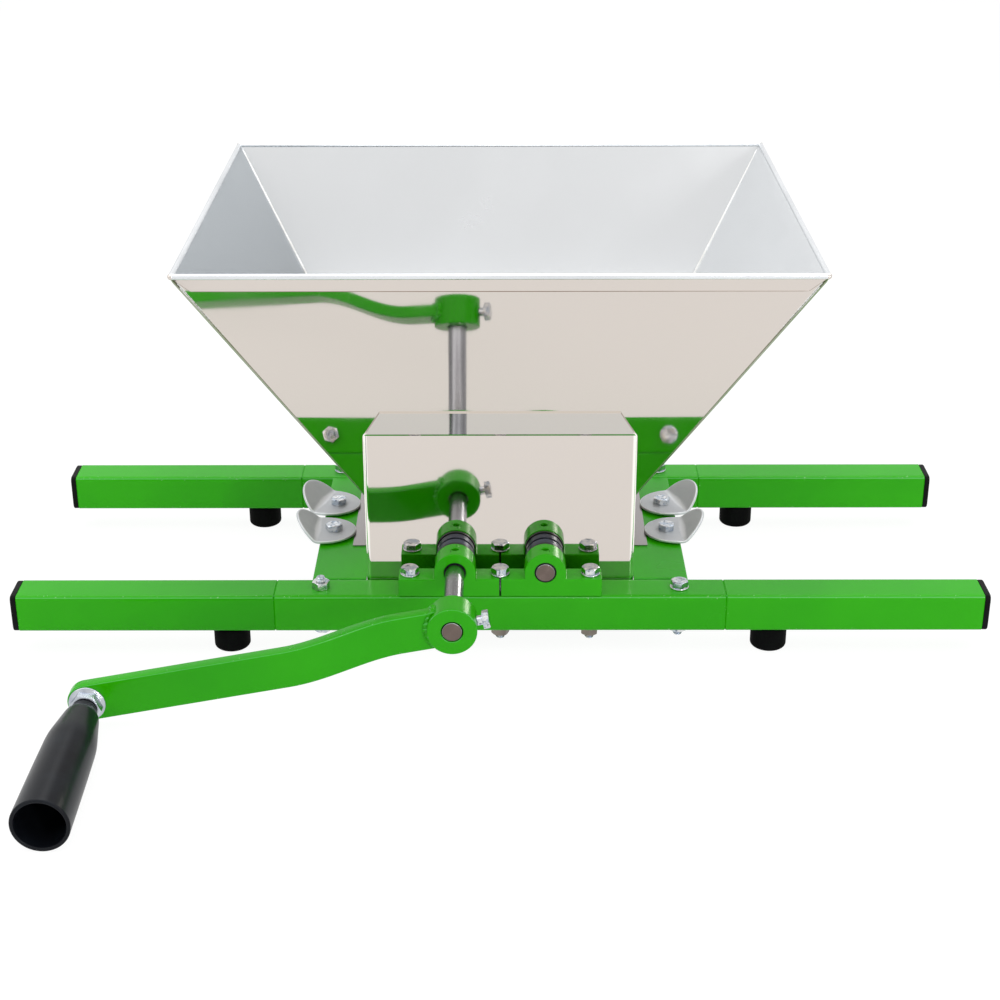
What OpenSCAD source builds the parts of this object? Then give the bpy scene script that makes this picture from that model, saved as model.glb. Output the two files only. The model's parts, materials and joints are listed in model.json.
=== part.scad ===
// Hand cranked fruit scratter. Two toothed rollers turn towards each other under
// a sheet metal hopper, between two square tube rails that stand on rubber feet.
// X runs along the rails, Y from front to back, Z up from the floor.

/* [Frame] */
// Side of the square rail tube
rail_w = 25; // [22:1:28]
// Wall of the square rail tube
rail_wall = 1.5; // [1:0.1:2]
// Length of the frame over its end caps
frame_len = 620; // [560:5:700]
// Length of each centre rail, from leg seam to leg seam
mid_len = 286; // [280:2:300]
// Distance between the front faces of the two rails
rail_pitch = 185; // [180:1:200]
// Thickness of the two side plates
plate_t = 3; // [2:0.5:5]
// Length of a leg's spigot inside the centre rail
spigot_in = 45; // [40:1:50]
// Length of a leg's spigot inside its own tube
spigot_out = 40; // [30:1:60]
// Thickness of the end caps
cap_t = 3; // [2:0.5:5]

/* [Feet] */
// Height of the rubber feet
foot_h = 16; // [14:1:22]
// Diameter of the rubber feet
foot_d = 23; // [20:1:25]
// Distance between the left and the right feet
foot_span = 345; // [330:1:400]

/* [Hopper] */
// Width of the hopper mouth
mouth_w = 368; // [330:1:400]
// Depth of the hopper mouth, front to back
mouth_d = 302; // [280:1:320]
// How far the mouth hangs over the front face of the front rail
mouth_over = 44; // [36:1:48]
// Height of the hopper above the rails
hopper_h = 224.5; // [200:0.5:250]
// Thickness of the stainless sheet
sheet_t = 1; // [0.8:0.1:1.5]
// Height of the folded hem under the rim
hem_h = 10; // [6:1:14]
// Radius of the rim bead
bead_r = 1.6; // [1.2:0.1:2]

/* [Rollers] */
// Distance between the two shafts
shaft_spacing = 56.8; // [54:0.1:60]
// Radius of the shafts
shaft_r = 6; // [5:0.1:7]
// Height of the shafts above the rails
shaft_h = 16.5; // [15.5:0.1:19]
// Radius of the toothed blades
blade_r = 33; // [30:0.5:35]
// Thickness of a toothed blade
blade_t = 3; // [2:0.1:3.5]
// Number of blades on each roller
blade_count = 8; // [6:1:9]
// Number of teeth on a blade
blade_teeth = 10; // [6:1:16]
// Number of teeth on each gear
gear_teeth = 20; // [16:1:28]
// Width of the gears
gear_w = 12; // [8:1:14]

/* [Crank] */
// Distance from the shaft to the grip's axis
crank_throw = 220; // [180:1:250]
// Height of the flat bar of the arm
arm_h = 24; // [20:0.5:28]
// Thickness of the flat bar of the arm
arm_t = 8; // [6:0.5:10]
// How far the arm steps forward between its two bends
arm_jog = 18; // [12:1:24]
// Length of the crank hub
hub_len = 19; // [16:0.5:24]
// Radius of the crank hub
hub_r = 15; // [13:0.5:17]
// Distance from the rails' front face to the back of the crank hub
hub_gap = 58; // [54:1:70]
// Length of the grip
grip_len = 118; // [100:1:130]
// Radius of the grip at its open end
grip_r = 16.5; // [14:0.5:18]

/* [Hidden] */
$fn = 48;

// One overrun serves every cut
cut = 1;
// Running clearance of a turning fit, and the slack of a fixed one
run_gap = 0.06;
fix_gap = 0.02;
// Gap between two pieces that lie next to each other
seat_gap = 0.3;
// Clearance of a bolt in its hole
bolt_gap = 0.3;

// Bolts that hold the blocks, the legs and the latches
bolt_r = 3;
bolt_flats = 10;
bolt_head_h = 4;
bolt_tail = 3;
nut_h = 5;
washer_r = 6;
washer_t = 1.2;
chamfer_share = 0.75;

// Levels and places, from the front face of the front rail and the rails' top
top_z = foot_h + rail_w;
rail_in = rail_w - 2 * rail_wall;
rear_y = rail_pitch;
back_y = rail_pitch + rail_w;
shaft_x = shaft_spacing / 2;
leg_bolt_in = 29;
leg_bolt_x = mid_len / 2 - leg_bolt_in;
spigot_wall = 2;
spigot_w = rail_in - 2 * run_gap;
weld_t = 4;
cap_plug = 12;
cap_wall = 2.5;
foot_chamfer = 1.5;
foot_top_r = 10.5;
screw_r = 2;
screw_head_r = 4;
screw_head_h = 2.5;
screw_len = 14;
screw_floor_gap = 2;

// Bearing blocks
block_d = 16;
block_base_h = 12;
block_hub_r = 13;
block_reach = 35.6;
block_edge = 7;
block_seam = 0.15;
block_w = shaft_x + block_reach;
block_bolt_x = block_w - block_edge;
oil_hole_r = 2;
bush_wall = 0.75;
bush_flange_r = 12.5;
bush_flange_t = 2.5;
bush_in_r = shaft_r + run_gap;
bush_out_r = bush_in_r + bush_wall;
collar_r = 11.5;
collar_t = 4.5;
ring_r = 9;
ring_t = 1.5;
shaft_tail = 4;

// Guard over the gears, and the throat of the hopper
guard_w = 171.5;
guard_gap = 0.8;
guard_drop = 8;
guard_bend_r = 3;
guard_flange = 22;
guard_flange_cut = 12;
guard_side_gap = 2.25;
guard_hole_gap = 1.5;
guard_y = rail_w + guard_gap;
opening_w = guard_w + 2 * guard_side_gap;
throat_side_gap = 3.6;
throat_front_gap = 58;
throat_rear_gap = 5;
throat_w = shaft_spacing + 2 * blade_r + 2 * throat_side_gap;
throat_y = rail_w + throat_front_gap;
throat_d = rail_pitch - throat_rear_gap - throat_y;
throat_back = throat_y + throat_d;
mouth_y = -mouth_over;
mouth_back = mouth_y + mouth_d;
flange_seat = 10;
flange_x = opening_w / 2 + flange_seat;
flange_lead = 11;
slot_gap = 2;
hem_turn = 6;
rim_corner_share = 1.15;
rim_corner_r = bead_r * rim_corner_share;

// Each wall: turn about Z, distance of its foot line, run outwards,
// then the ends of its foot line and of its rim line
front_run = throat_y - mouth_y;
rear_run = mouth_back - throat_back;
side_run = (mouth_w - throat_w) / 2;
WALLS = [
    [0, -throat_y, front_run, -throat_w / 2, throat_w / 2, -mouth_w / 2, mouth_w / 2],
    [180, throat_back, rear_run, -throat_w / 2, throat_w / 2, -mouth_w / 2, mouth_w / 2],
    [90, throat_w / 2, side_run, throat_y, throat_back, mouth_y, mouth_back],
    [-90, throat_w / 2, side_run, -throat_back, -throat_y, -mouth_back, -mouth_y]];

// Latches that turn over the hopper's foot flange
latch_t = 2;
latch_set_back = 14;
latch_x = flange_x + latch_set_back;
latch_lead = 9;
latch_pitch = 42;
latch_front_y = throat_y + latch_lead;
latch_rear_y = latch_front_y + latch_pitch;
latch_tip = 15.5;
latch_half_w = 19.5;
latch_half_len = 23;
latch_bend_x = 11;
latch_bend = 49;
latch_steps = 48;
latch_rear_turn = 18;
latch_z = sheet_t + seat_gap;
shoulder_r = 4;
shoulder_play = 0.2;
latch_washer_r = 8;
plate_margin = 8.5;
plate_x = latch_x + plate_margin;

// Rollers and gears
roller_gap = 3.5;
blade_mesh_gap = 6.8;
tooth_depth = 5;
tooth_rake_share = 0.3;
// Where the first blade of each roller stands, in its pitch: they pass between each other
drive_blade_share = 0.25;
driven_blade_share = 0.75;
drum_r = shaft_spacing - blade_r - blade_mesh_gap;
roller_y = throat_y + roller_gap;
roller_len = throat_d - 2 * roller_gap;
blade_pitch = roller_len / blade_count;
gear_lead = 6;
gear_y = guard_y + sheet_t + gear_lead;
gear_hub_r = 11;
gear_hub_len = 8;
gear_module = shaft_spacing / gear_teeth;
gear_backlash = 0.35;
gear_press = 20;
gear_root_share = 1.25;
gear_pitch_r = shaft_spacing / 2;
gear_base_r = gear_pitch_r * cos(gear_press);
gear_tip_r = gear_pitch_r + gear_module;
gear_root_r = gear_pitch_r - gear_root_share * gear_module;
flank_steps = 5;
grub_r = 2.5;

// Crank, spindle and grip
hub_back_y = -hub_gap;
hub_front_y = hub_back_y - hub_len;
hub_mid_y = hub_back_y - hub_len / 2;
jog_start = 32;
jog_end = 100;
jog_steps = 20;
set_screw_out = 3.5;
spindle_r = 5;
spindle_head_r = 8;
spindle_head_h = 5;
grip_nut_flats = 17;
grip_nut_h = 8;
grip_nut_flange_r = 11;
grip_nut_flange_t = 2;
grip_gap = 0.5;
grip_neck_r = 9.5;
grip_neck_len = 4;
grip_shoulder_r = 14.5;
grip_shoulder_z = 38;
grip_hollow_len = 62;
grip_wall = 2.5;
grip_round = 1;
arm_front_y = hub_mid_y - arm_jog - arm_t / 2;
grip_back_y = arm_front_y - grip_nut_h - grip_gap;
grip_front_y = grip_back_y - grip_len;
grip_floor_gap = 0.3;
// The arm hangs until the grip all but touches the floor
crank_rest = asin((top_z + shaft_h - grip_r - grip_floor_gap) / crank_throw);

// The origin is the middle of the whole object's box, on the floor
mid_y = (grip_front_y + mouth_back + rim_corner_r) / 2;

module at_frame() {
    translate([0, -mid_y, top_z]) children();
}

module each_side() {
    for (side = [-1, 1]) mirrored(side) children();
}

module mirrored(side) {
    if (side < 0) mirror([1, 0, 0]) children();
    else children();
}

module along_y(y, len, r) {
    translate([0, y, 0]) rotate([-90, 0, 0]) cylinder(h = len, r = r);
}

// Hexagon with the bevelled corners of a bolt head
module hexagon(flats, h) {
    corner_r = flats / 2 / cos(30);
    intersection() {
        cylinder(h = h, r = corner_r, $fn = 6);
        union() {
            cylinder(h = h * chamfer_share, r = corner_r);
            translate([0, 0, h * chamfer_share])
                cylinder(h = h * (1 - chamfer_share), r1 = corner_r, r2 = flats / 2);
        }
    }
}

module bolt(len) {
    hexagon(bolt_flats, bolt_head_h);
    translate([0, 0, -len]) cylinder(h = len + cut / 2, r = bolt_r);
}

module washer(r = washer_r, t = washer_t, bore = bolt_r + fix_gap) {
    difference() {
        cylinder(h = t, r = r);
        translate([0, 0, -cut]) cylinder(h = t + 2 * cut, r = bore);
    }
}

module nut(flats = bolt_flats, h = nut_h, bore = bolt_r + fix_gap) {
    difference() {
        hexagon(flats, h);
        translate([0, 0, -cut]) cylinder(h = h + 2 * cut, r = bore);
    }
}

module square_tube(len, w, wall) {
    difference() {
        cube([len, w, w]);
        translate([-cut, wall, wall])
            cube([len + 2 * cut, w - 2 * wall, w - 2 * wall]);
    }
}

// Bolt places on a centre rail, and on its bearing blocks
function block_bolt_xs() = [-block_bolt_x, 0, block_bolt_x];
function leg_bolt_xs() = [-leg_bolt_x, leg_bolt_x];

module centre_rail(y, block_bolt_y) {
    difference() {
        translate([-mid_len / 2, y, -rail_w]) square_tube(mid_len, rail_w, rail_wall);
        for (x = block_bolt_xs())
            translate([x, block_bolt_y, -rail_w - cut])
                cylinder(h = rail_w + 2 * cut, r = bolt_r + bolt_gap);
        for (x = leg_bolt_xs())
            translate([x, y + rail_w / 2, -rail_w - cut])
                cylinder(h = rail_w + 2 * cut, r = bolt_r + bolt_gap);
    }
}

module front_rail() {
    color("limegreen") at_frame() centre_rail(0, block_d / 2);
}

module rear_rail() {
    color("limegreen") at_frame() centre_rail(rear_y, back_y - block_d / 2);
}

module side_plate(side) {
    color("limegreen") at_frame() mirrored(side) difference() {
        translate([opening_w / 2, rail_w, -plate_t])
            cube([plate_x - opening_w / 2, rear_y - rail_w, plate_t]);
        for (y = [latch_front_y, latch_rear_y])
            translate([latch_x, y, -plate_t - cut])
                cylinder(h = plate_t + 2 * cut, r = bolt_r + bolt_gap);
    }
}

module side_plate_left() { side_plate(-1); }
module side_plate_right() { side_plate(1); }

// A leg is a tube with a smaller spigot welded in, which plugs into the rail
module leg(side, y) {
    leg_len = (frame_len - mid_len) / 2 - cap_t;
    color("limegreen") at_frame() mirrored(side) difference() {
        union() {
            translate([mid_len / 2, y, -rail_w]) square_tube(leg_len, rail_w, rail_wall);
            translate([mid_len / 2 - spigot_in, y + (rail_w - spigot_w) / 2,
                    -(rail_w + spigot_w) / 2])
                square_tube(spigot_in + spigot_out, spigot_w, spigot_wall);
            translate([mid_len / 2 + spigot_out - weld_t, y + rail_wall, rail_wall - rail_w])
                cube([weld_t, rail_in, rail_in]);
        }
        translate([leg_bolt_x, y + rail_w / 2, -rail_w - cut])
            cylinder(h = rail_w + 2 * cut, r = bolt_r + bolt_gap);
        translate([foot_span / 2, y + rail_w / 2, -rail_w - cut])
            cylinder(h = rail_wall + 2 * cut, r = screw_r + fix_gap);
    }
}

module leg_front_left() { leg(-1, 0); }
module leg_front_right() { leg(1, 0); }
module leg_rear_left() { leg(-1, rear_y); }
module leg_rear_right() { leg(1, rear_y); }

module end_caps() {
    plug_w = rail_in - 2 * run_gap;
    color("black") at_frame() each_side() for (y = [0, rear_y])
        translate([frame_len / 2 - cap_t, y, -rail_w]) {
            cube([cap_t, rail_w, rail_w]);
            translate([-cap_plug, (rail_w - plug_w) / 2, (rail_w - plug_w) / 2])
                square_tube(cap_plug + cut, plug_w, cap_wall);
        }
}

module at_feet() {
    for (y = [0, rear_y]) each_side()
        translate([foot_span / 2, y + rail_w / 2, -top_z]) children();
}

module feet() {
    foot_r = foot_d / 2;
    color("black") at_frame() at_feet() rotate_extrude() polygon([
        [screw_r + fix_gap, foot_h], [foot_top_r, foot_h], [foot_r, foot_h - foot_chamfer],
        [foot_r, foot_chamfer], [foot_r - foot_chamfer, 0], [screw_head_r + bolt_gap, 0],
        [screw_head_r + bolt_gap, screw_floor_gap + screw_head_h],
        [screw_r + fix_gap, screw_floor_gap + screw_head_h]]);
}

module foot_screws() {
    color("silver") at_frame() at_feet() translate([0, 0, screw_floor_gap]) {
        cylinder(h = screw_head_h, r = screw_head_r);
        cylinder(h = screw_head_h + screw_len, r = screw_r);
    }
}

module at_leg_bolts() {
    for (y = [0, rear_y], x = leg_bolt_xs())
        translate([x, y + rail_w / 2, -rail_w / 2])
            rotate([x < 0 && y == 0 ? 180 : 0, 0, 0]) children();
}

module leg_bolts() {
    color("silver") at_frame() at_leg_bolts()
        translate([0, 0, rail_w / 2 + washer_t])
            bolt(rail_w + washer_t + nut_h + bolt_tail);
}

module leg_washers() {
    color("silver") at_frame() at_leg_bolts() translate([0, 0, rail_w / 2]) washer();
}

module leg_nuts() {
    color("silver") at_frame() at_leg_bolts()
        translate([0, 0, -rail_w / 2 - nut_h]) nut();
}

// A bearing block: a drilled hub on a foot that is bolted to the rail
module bearing_block(y, side) {
    color("limegreen") at_frame() mirrored(side) difference() {
        union() {
            translate([block_seam, y, 0])
                cube([block_w - block_seam, block_d, block_base_h]);
            translate([shaft_x - block_hub_r, y, 0])
                cube([2 * block_hub_r, block_d, shaft_h]);
            translate([shaft_x, 0, shaft_h]) along_y(y, block_d, block_hub_r);
        }
        translate([shaft_x, 0, shaft_h])
            along_y(y - cut, block_d + 2 * cut, bush_out_r + fix_gap);
        for (x = [0, block_bolt_x])
            translate([x, y + block_d / 2, -cut])
                cylinder(h = block_base_h + 2 * cut, r = bolt_r + bolt_gap);
        translate([shaft_x, y + block_d / 2, shaft_h + bush_out_r - cut])
            cylinder(h = block_hub_r, r = oil_hole_r);
    }
}

module block_front_left() { bearing_block(0, -1); }
module block_front_right() { bearing_block(0, 1); }
module block_rear_left() { bearing_block(back_y - block_d, -1); }
module block_rear_right() { bearing_block(back_y - block_d, 1); }

module at_block_bolts() {
    for (y = [block_d / 2, back_y - block_d / 2], x = block_bolt_xs())
        translate([x, y, block_base_h]) children();
}

module block_bolts() {
    color("silver") at_frame() at_block_bolts() translate([0, 0, washer_t])
        bolt(washer_t + block_base_h + rail_w + nut_h + bolt_tail);
}

module block_washers() {
    color("silver") at_frame() at_block_bolts() washer();
}

module block_nuts() {
    color("silver") at_frame() at_block_bolts()
        translate([0, 0, -block_base_h - rail_w - nut_h]) nut();
}

// Each bush is a sleeve in its block with a flange on the inner side
module bearing_bush() {
    difference() {
        union() {
            along_y(0, block_d, bush_out_r);
            along_y(block_d, bush_flange_t, bush_flange_r);
        }
        along_y(-cut, block_d + bush_flange_t + 2 * cut, bush_in_r);
    }
}

module bearing_bushes() {
    color("black") at_frame() each_side() translate([shaft_x, 0, shaft_h]) {
        bearing_bush();
        translate([0, back_y, 0]) mirror([0, 1, 0]) bearing_bush();
    }
}

// Places children on a hopper wall: x along it, y up its slope, z outwards
module on_wall(wall) {
    slope = atan2(hopper_h, wall[2]);
    rotate([0, 0, wall[0]]) translate([0, -wall[1], 0])
        rotate([180 - slope, 0, 0]) children();
}

function wall_slant(wall) = sqrt(hopper_h * hopper_h + wall[2] * wall[2]);

module hopper_wall(wall) {
    slant = wall_slant(wall);
    on_wall(wall) {
        translate([0, 0, -sheet_t]) linear_extrude(sheet_t)
            polygon([[wall[3], 0], [wall[4], 0], [wall[6], slant], [wall[5], slant]]);
        translate([0, slant, 0]) rotate([-hem_turn, 0, 0]) linear_extrude(sheet_t)
            polygon([[wall[5] + hem_h, -hem_h], [wall[6] - hem_h, -hem_h],
                [wall[6], 0], [wall[5], 0]]);
        translate([wall[5], slant, 0]) rotate([0, 90, 0])
            cylinder(h = wall[6] - wall[5], r = bead_r);
        translate([wall[5], slant, 0]) sphere(r = rim_corner_r);
    }
}

module hopper() {
    slot_r = shaft_r + slot_gap;
    color("gainsboro") at_frame() difference() {
        union() {
            for (wall = WALLS) hopper_wall(wall);
            each_side() translate([throat_w / 2 - sheet_t, throat_y - flange_lead, 0])
                cube([flange_x - throat_w / 2 + sheet_t, throat_d + flange_lead, sheet_t]);
        }
        each_side() translate([shaft_x, 0, shaft_h]) {
            along_y(0, back_y, slot_r);
            translate([-slot_r, 0, -shaft_h - cut]) cube([2 * slot_r, back_y, shaft_h + cut]);
        }
    }
}

// The guard's bent sheet in plan: a front face with two cheeks
module rounded_slab(w, d, r) {
    translate([-w / 2, r]) square([w, d - r]);
    translate([-w / 2 + r, 0]) square([w - 2 * r, d]);
    for (x = [-w / 2 + r, w / 2 - r]) translate([x, r]) circle(r = r);
}

module gear_guard() {
    cheek_d = throat_y - flange_lead - seat_gap - guard_y;
    front_slope = atan2(hopper_h, front_run);
    // Slope length from the throat up to the bend of the top flange
    bend_up = (throat_y - guard_y - sheet_t * sin(front_slope)) / cos(front_slope);
    bend_x = (guard_w - guard_bend_r) / 2;
    color("gainsboro") at_frame() {
        difference() {
            translate([0, guard_y, -guard_drop]) linear_extrude(hopper_h)
                difference() {
                    rounded_slab(guard_w, cheek_d, guard_bend_r);
                    translate([0, sheet_t])
                        rounded_slab(guard_w - 2 * sheet_t, cheek_d,
                            guard_bend_r - sheet_t);
                }
            on_wall(WALLS[0]) translate([-guard_w, -hopper_h, -2 * hopper_h])
                cube([2 * guard_w, 3 * hopper_h, 2 * hopper_h]);
            each_side() translate([shaft_x, 0, shaft_h])
                along_y(guard_y - cut, sheet_t + 2 * cut, shaft_r + guard_hole_gap);
        }
        on_wall(WALLS[0]) linear_extrude(sheet_t) polygon([
            [-bend_x, bend_up], [bend_x, bend_up],
            [guard_w / 2 - guard_flange_cut, bend_up + guard_flange],
            [-guard_w / 2 + guard_flange_cut, bend_up + guard_flange]]);
    }
}

// A latch lies with its tip over the flange and its finger tab bent up outside.
// The outline is an ellipse about the pivot at zero, tip towards minus X.
function latch_centre() = latch_half_len - latch_tip;
function latch_point(a) =
    [latch_centre() + latch_half_len * cos(a), latch_half_w * sin(a)];
function latch_chord() = latch_half_w
    * sqrt(1 - pow((latch_bend_x - latch_centre()) / latch_half_len, 2));

module latch_outline() {
    polygon([for (i = [0 : latch_steps - 1]) latch_point(360 * i / latch_steps)]);
}

module latch_plate() {
    big = 2 * latch_half_len;
    difference() {
        linear_extrude(latch_t) intersection() {
            latch_outline();
            translate([latch_bend_x - 2 * big, -big]) square([2 * big, 2 * big]);
        }
        translate([0, 0, -cut]) cylinder(h = latch_t + 2 * cut, r = shoulder_r + run_gap);
    }
    translate([latch_bend_x, 0, latch_t / 2]) {
        rotate([90, 0, 0])
            cylinder(h = 2 * latch_chord(), r = latch_t / 2, center = true);
        rotate([0, -latch_bend, 0]) translate([-latch_bend_x, 0, -latch_t / 2])
            linear_extrude(latch_t) intersection() {
                latch_outline();
                translate([latch_bend_x, -big]) square([2 * big, 2 * big]);
            }
    }
}

module latch(side, y, turn) {
    color("silver") at_frame() mirrored(side) translate([latch_x, y, latch_z])
        rotate([0, 0, turn]) latch_plate();
}

module latch_front_left() { latch(-1, latch_front_y, 0); }
module latch_front_right() { latch(1, latch_front_y, 0); }
module latch_rear_left() { latch(-1, latch_rear_y, latch_rear_turn); }
module latch_rear_right() { latch(1, latch_rear_y, latch_rear_turn); }

module at_latches() {
    for (y = [latch_front_y, latch_rear_y]) each_side()
        translate([latch_x, y, 0]) children();
}

module latch_bolts() {
    color("silver") at_frame() at_latches() {
        cylinder(h = latch_z + latch_t + shoulder_play, r = shoulder_r);
        translate([0, 0, latch_z + latch_t + shoulder_play])
            hexagon(bolt_flats, bolt_head_h);
        translate([0, 0, -plate_t - nut_h - bolt_tail])
            cylinder(h = plate_t + nut_h + bolt_tail + cut / 2, r = bolt_r);
    }
}

module latch_washers() {
    color("silver") at_frame() at_latches()
        washer(latch_washer_r, sheet_t, shoulder_r + fix_gap);
}

module latch_nuts() {
    color("silver") at_frame() at_latches() translate([0, 0, -plate_t - nut_h]) nut();
}

// Shafts and what turns with them; side -1 is the cranked one
module on_shaft(side) {
    translate([side * shaft_x, 0, shaft_h]) children();
}

module shaft(side, y) {
    color("lightgray") at_frame() on_shaft(side)
        along_y(y, back_y + shaft_tail - y, shaft_r);
}

module drive_shaft() { shaft(-1, hub_front_y); }
module driven_shaft() { shaft(1, 0); }

module drum(side) {
    color("silver") at_frame() on_shaft(side) difference() {
        along_y(roller_y, roller_len, drum_r);
        along_y(roller_y - cut, roller_len + 2 * cut, shaft_r + fix_gap);
    }
}

module drive_drum() { drum(-1); }
module driven_drum() { drum(1); }

function saw_point(i, tip) = let (
        step = 360 / blade_teeth,
        a = step * (i + (tip ? tooth_rake_share : 0)),
        r = tip ? blade_r : blade_r - tooth_depth)
    [r * cos(a), r * sin(a)];

module blade() {
    rotate([-90, 0, 0]) difference() {
        linear_extrude(blade_t, center = true)
            polygon([for (i = [0 : blade_teeth - 1], tip = [false, true]) saw_point(i, tip)]);
        cylinder(h = blade_t + 2 * cut, r = drum_r + fix_gap, center = true);
    }
}

module blades(side, first_share) {
    color("gainsboro") at_frame() on_shaft(side) for (i = [0 : blade_count - 1])
        translate([0, roller_y + blade_pitch * (i + first_share), 0])
            mirrored(side) blade();
}

module drive_blades() { blades(-1, drive_blade_share); }
module driven_blades() { blades(1, driven_blade_share); }

// Involute gear: half the angle that a tooth spans at a radius
function unwind(r) = let (a = acos(min(1, gear_base_r / r))) tan(a) * 180 / PI - a;
function tooth_half(r) = 90 / gear_teeth - gear_backlash / gear_pitch_r * 90 / PI
    + unwind(gear_pitch_r) - unwind(max(r, gear_base_r));
function flank_r(k) = gear_root_r + (gear_tip_r - gear_root_r) * k / flank_steps;
function gear_point(i, k, flank) = let (
        r = flank_r(k),
        a = 360 * i / gear_teeth + flank * tooth_half(r))
    [r * cos(a), r * sin(a)];

module gear_outline() {
    polygon([for (i = [0 : gear_teeth - 1], flank = [-1, 1], k = [0 : flank_steps])
        gear_point(i, flank < 0 ? k : flank_steps - k, flank)]);
}

// Gears face each other tooth to gap across the middle
module gear(side, turn) {
    color("dimgray") at_frame() on_shaft(side) difference() {
        union() {
            translate([0, gear_y + gear_w, 0]) rotate([90, turn, 0])
                linear_extrude(gear_w) gear_outline();
            along_y(gear_y + gear_w, gear_hub_len, gear_hub_r);
        }
        along_y(gear_y - cut, gear_w + gear_hub_len + 2 * cut, shaft_r + fix_gap);
        translate([0, gear_y + gear_w + gear_hub_len / 2, 0])
            cylinder(h = gear_hub_r + cut, r = grub_r + fix_gap);
    }
}

module drive_gear() { gear(-1, 0); }
module driven_gear() { gear(1, 180 + 180 / gear_teeth); }

module gear_screw(side) {
    color("silver") at_frame() on_shaft(side)
        translate([0, gear_y + gear_w + gear_hub_len / 2, shaft_r + fix_gap])
            cylinder(h = gear_hub_r - shaft_r - fix_gap, r = grub_r);
}

module drive_gear_screw() { gear_screw(-1); }
module driven_gear_screw() { gear_screw(1); }

// A thrust collar behind the front bush, and a ring behind the rear block
module ring_on_shaft(y, len, r) {
    difference() {
        along_y(y, len, r);
        along_y(y - cut, len + 2 * cut, shaft_r + fix_gap);
    }
}

module collars(side) {
    color("slategray") at_frame() on_shaft(side) {
        ring_on_shaft(block_d + bush_flange_t + seat_gap, collar_t, collar_r);
        ring_on_shaft(back_y + seat_gap, ring_t, ring_r);
    }
}

module drive_collars() { collars(-1); }
module driven_collars() { collars(1); }

// The crank hangs from the drive shaft; its arm runs along minus X
module on_crank() {
    on_shaft(-1) rotate([0, -crank_rest, 0]) children();
}

function jog_share(s) = min(1, max(0, (s - jog_start) / (jog_end - jog_start)));
function jog_y(s) = -arm_jog * (1 - cos(180 * jog_share(s))) / 2;
function jog_angle(s) = atan(-arm_jog * PI / 2 / (jog_end - jog_start)
    * sin(180 * jog_share(s)));
function arm_point(s, face) = let (a = jog_angle(s))
    [-s + face * arm_t / 2 * sin(a), jog_y(s) + face * arm_t / 2 * cos(a)];
function arm_stops() = concat([0],
    [for (i = [0 : jog_steps]) jog_start + (jog_end - jog_start) * i / jog_steps],
    [crank_throw + arm_h]);

module arm_bar() {
    stops = arm_stops();
    last = len(stops) - 1;
    intersection() {
        translate([0, hub_mid_y, -arm_h / 2]) linear_extrude(arm_h) polygon(concat(
            [for (i = [0 : last]) arm_point(stops[i], 1)],
            [for (i = [0 : last]) arm_point(stops[last - i], -1)]));
        translate([0, hub_back_y, 0]) rotate([90, 0, 0])
            linear_extrude(hub_len + arm_jog + arm_t) {
                translate([-crank_throw, -arm_h / 2]) square([crank_throw, arm_h]);
                translate([-crank_throw, 0]) circle(r = arm_h / 2);
            }
    }
}

module crank_arm() {
    color("limegreen") at_frame() on_crank() difference() {
        union() {
            along_y(hub_front_y, hub_len, hub_r);
            arm_bar();
        }
        along_y(hub_front_y - cut, hub_len + 2 * cut, shaft_r + fix_gap);
        translate([0, hub_mid_y, 0]) rotate([0, 90, 0])
            cylinder(h = hub_r + cut, r = bolt_r + fix_gap);
        translate([-crank_throw, 0, 0])
            along_y(arm_front_y - cut, arm_t + 2 * cut, spindle_r + fix_gap);
    }
}

module crank_set_screw() {
    tip = shaft_r + seat_gap;
    color("silver") at_frame() on_crank() translate([0, hub_mid_y, 0])
        rotate([0, 90, 0]) {
            translate([0, 0, tip])
                cylinder(h = hub_r + set_screw_out - tip + cut / 2, r = bolt_r);
            translate([0, 0, hub_r + set_screw_out]) hexagon(bolt_flats, bolt_head_h);
        }
}

// Children's z runs along the grip, forward from the arm's front face
module on_grip_axis(y) {
    at_frame() on_crank() translate([-crank_throw, y, 0]) rotate([90, 0, 0]) children();
}

module grip_nut() {
    color("silver") on_grip_axis(arm_front_y) difference() {
        union() {
            cylinder(h = grip_nut_flange_t, r = grip_nut_flange_r);
            hexagon(grip_nut_flats, grip_nut_h);
        }
        translate([0, 0, -cut])
            cylinder(h = grip_nut_h + 2 * cut, r = spindle_r + fix_gap);
    }
}

module grip_spindle() {
    seat = arm_t + grip_nut_h + 2 * grip_gap + grip_len - grip_hollow_len;
    color("silver") on_grip_axis(arm_front_y + arm_t) {
        cylinder(h = seat + cut / 2, r = spindle_r);
        translate([0, 0, seat]) cylinder(h = spindle_head_h, r = spindle_head_r);
    }
}

module grip() {
    bore = spindle_r + run_gap;
    hollow_r = grip_r - grip_wall;
    color("black") on_grip_axis(grip_back_y) rotate_extrude() polygon([
        [bore, 0], [grip_neck_r, 0], [grip_neck_r, grip_neck_len],
        [grip_shoulder_r, grip_shoulder_z], [grip_r, grip_len - grip_round],
        [grip_r - grip_round, grip_len], [hollow_r, grip_len],
        [hollow_r, grip_len - grip_hollow_len], [bore, grip_len - grip_hollow_len]]);
}

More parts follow.
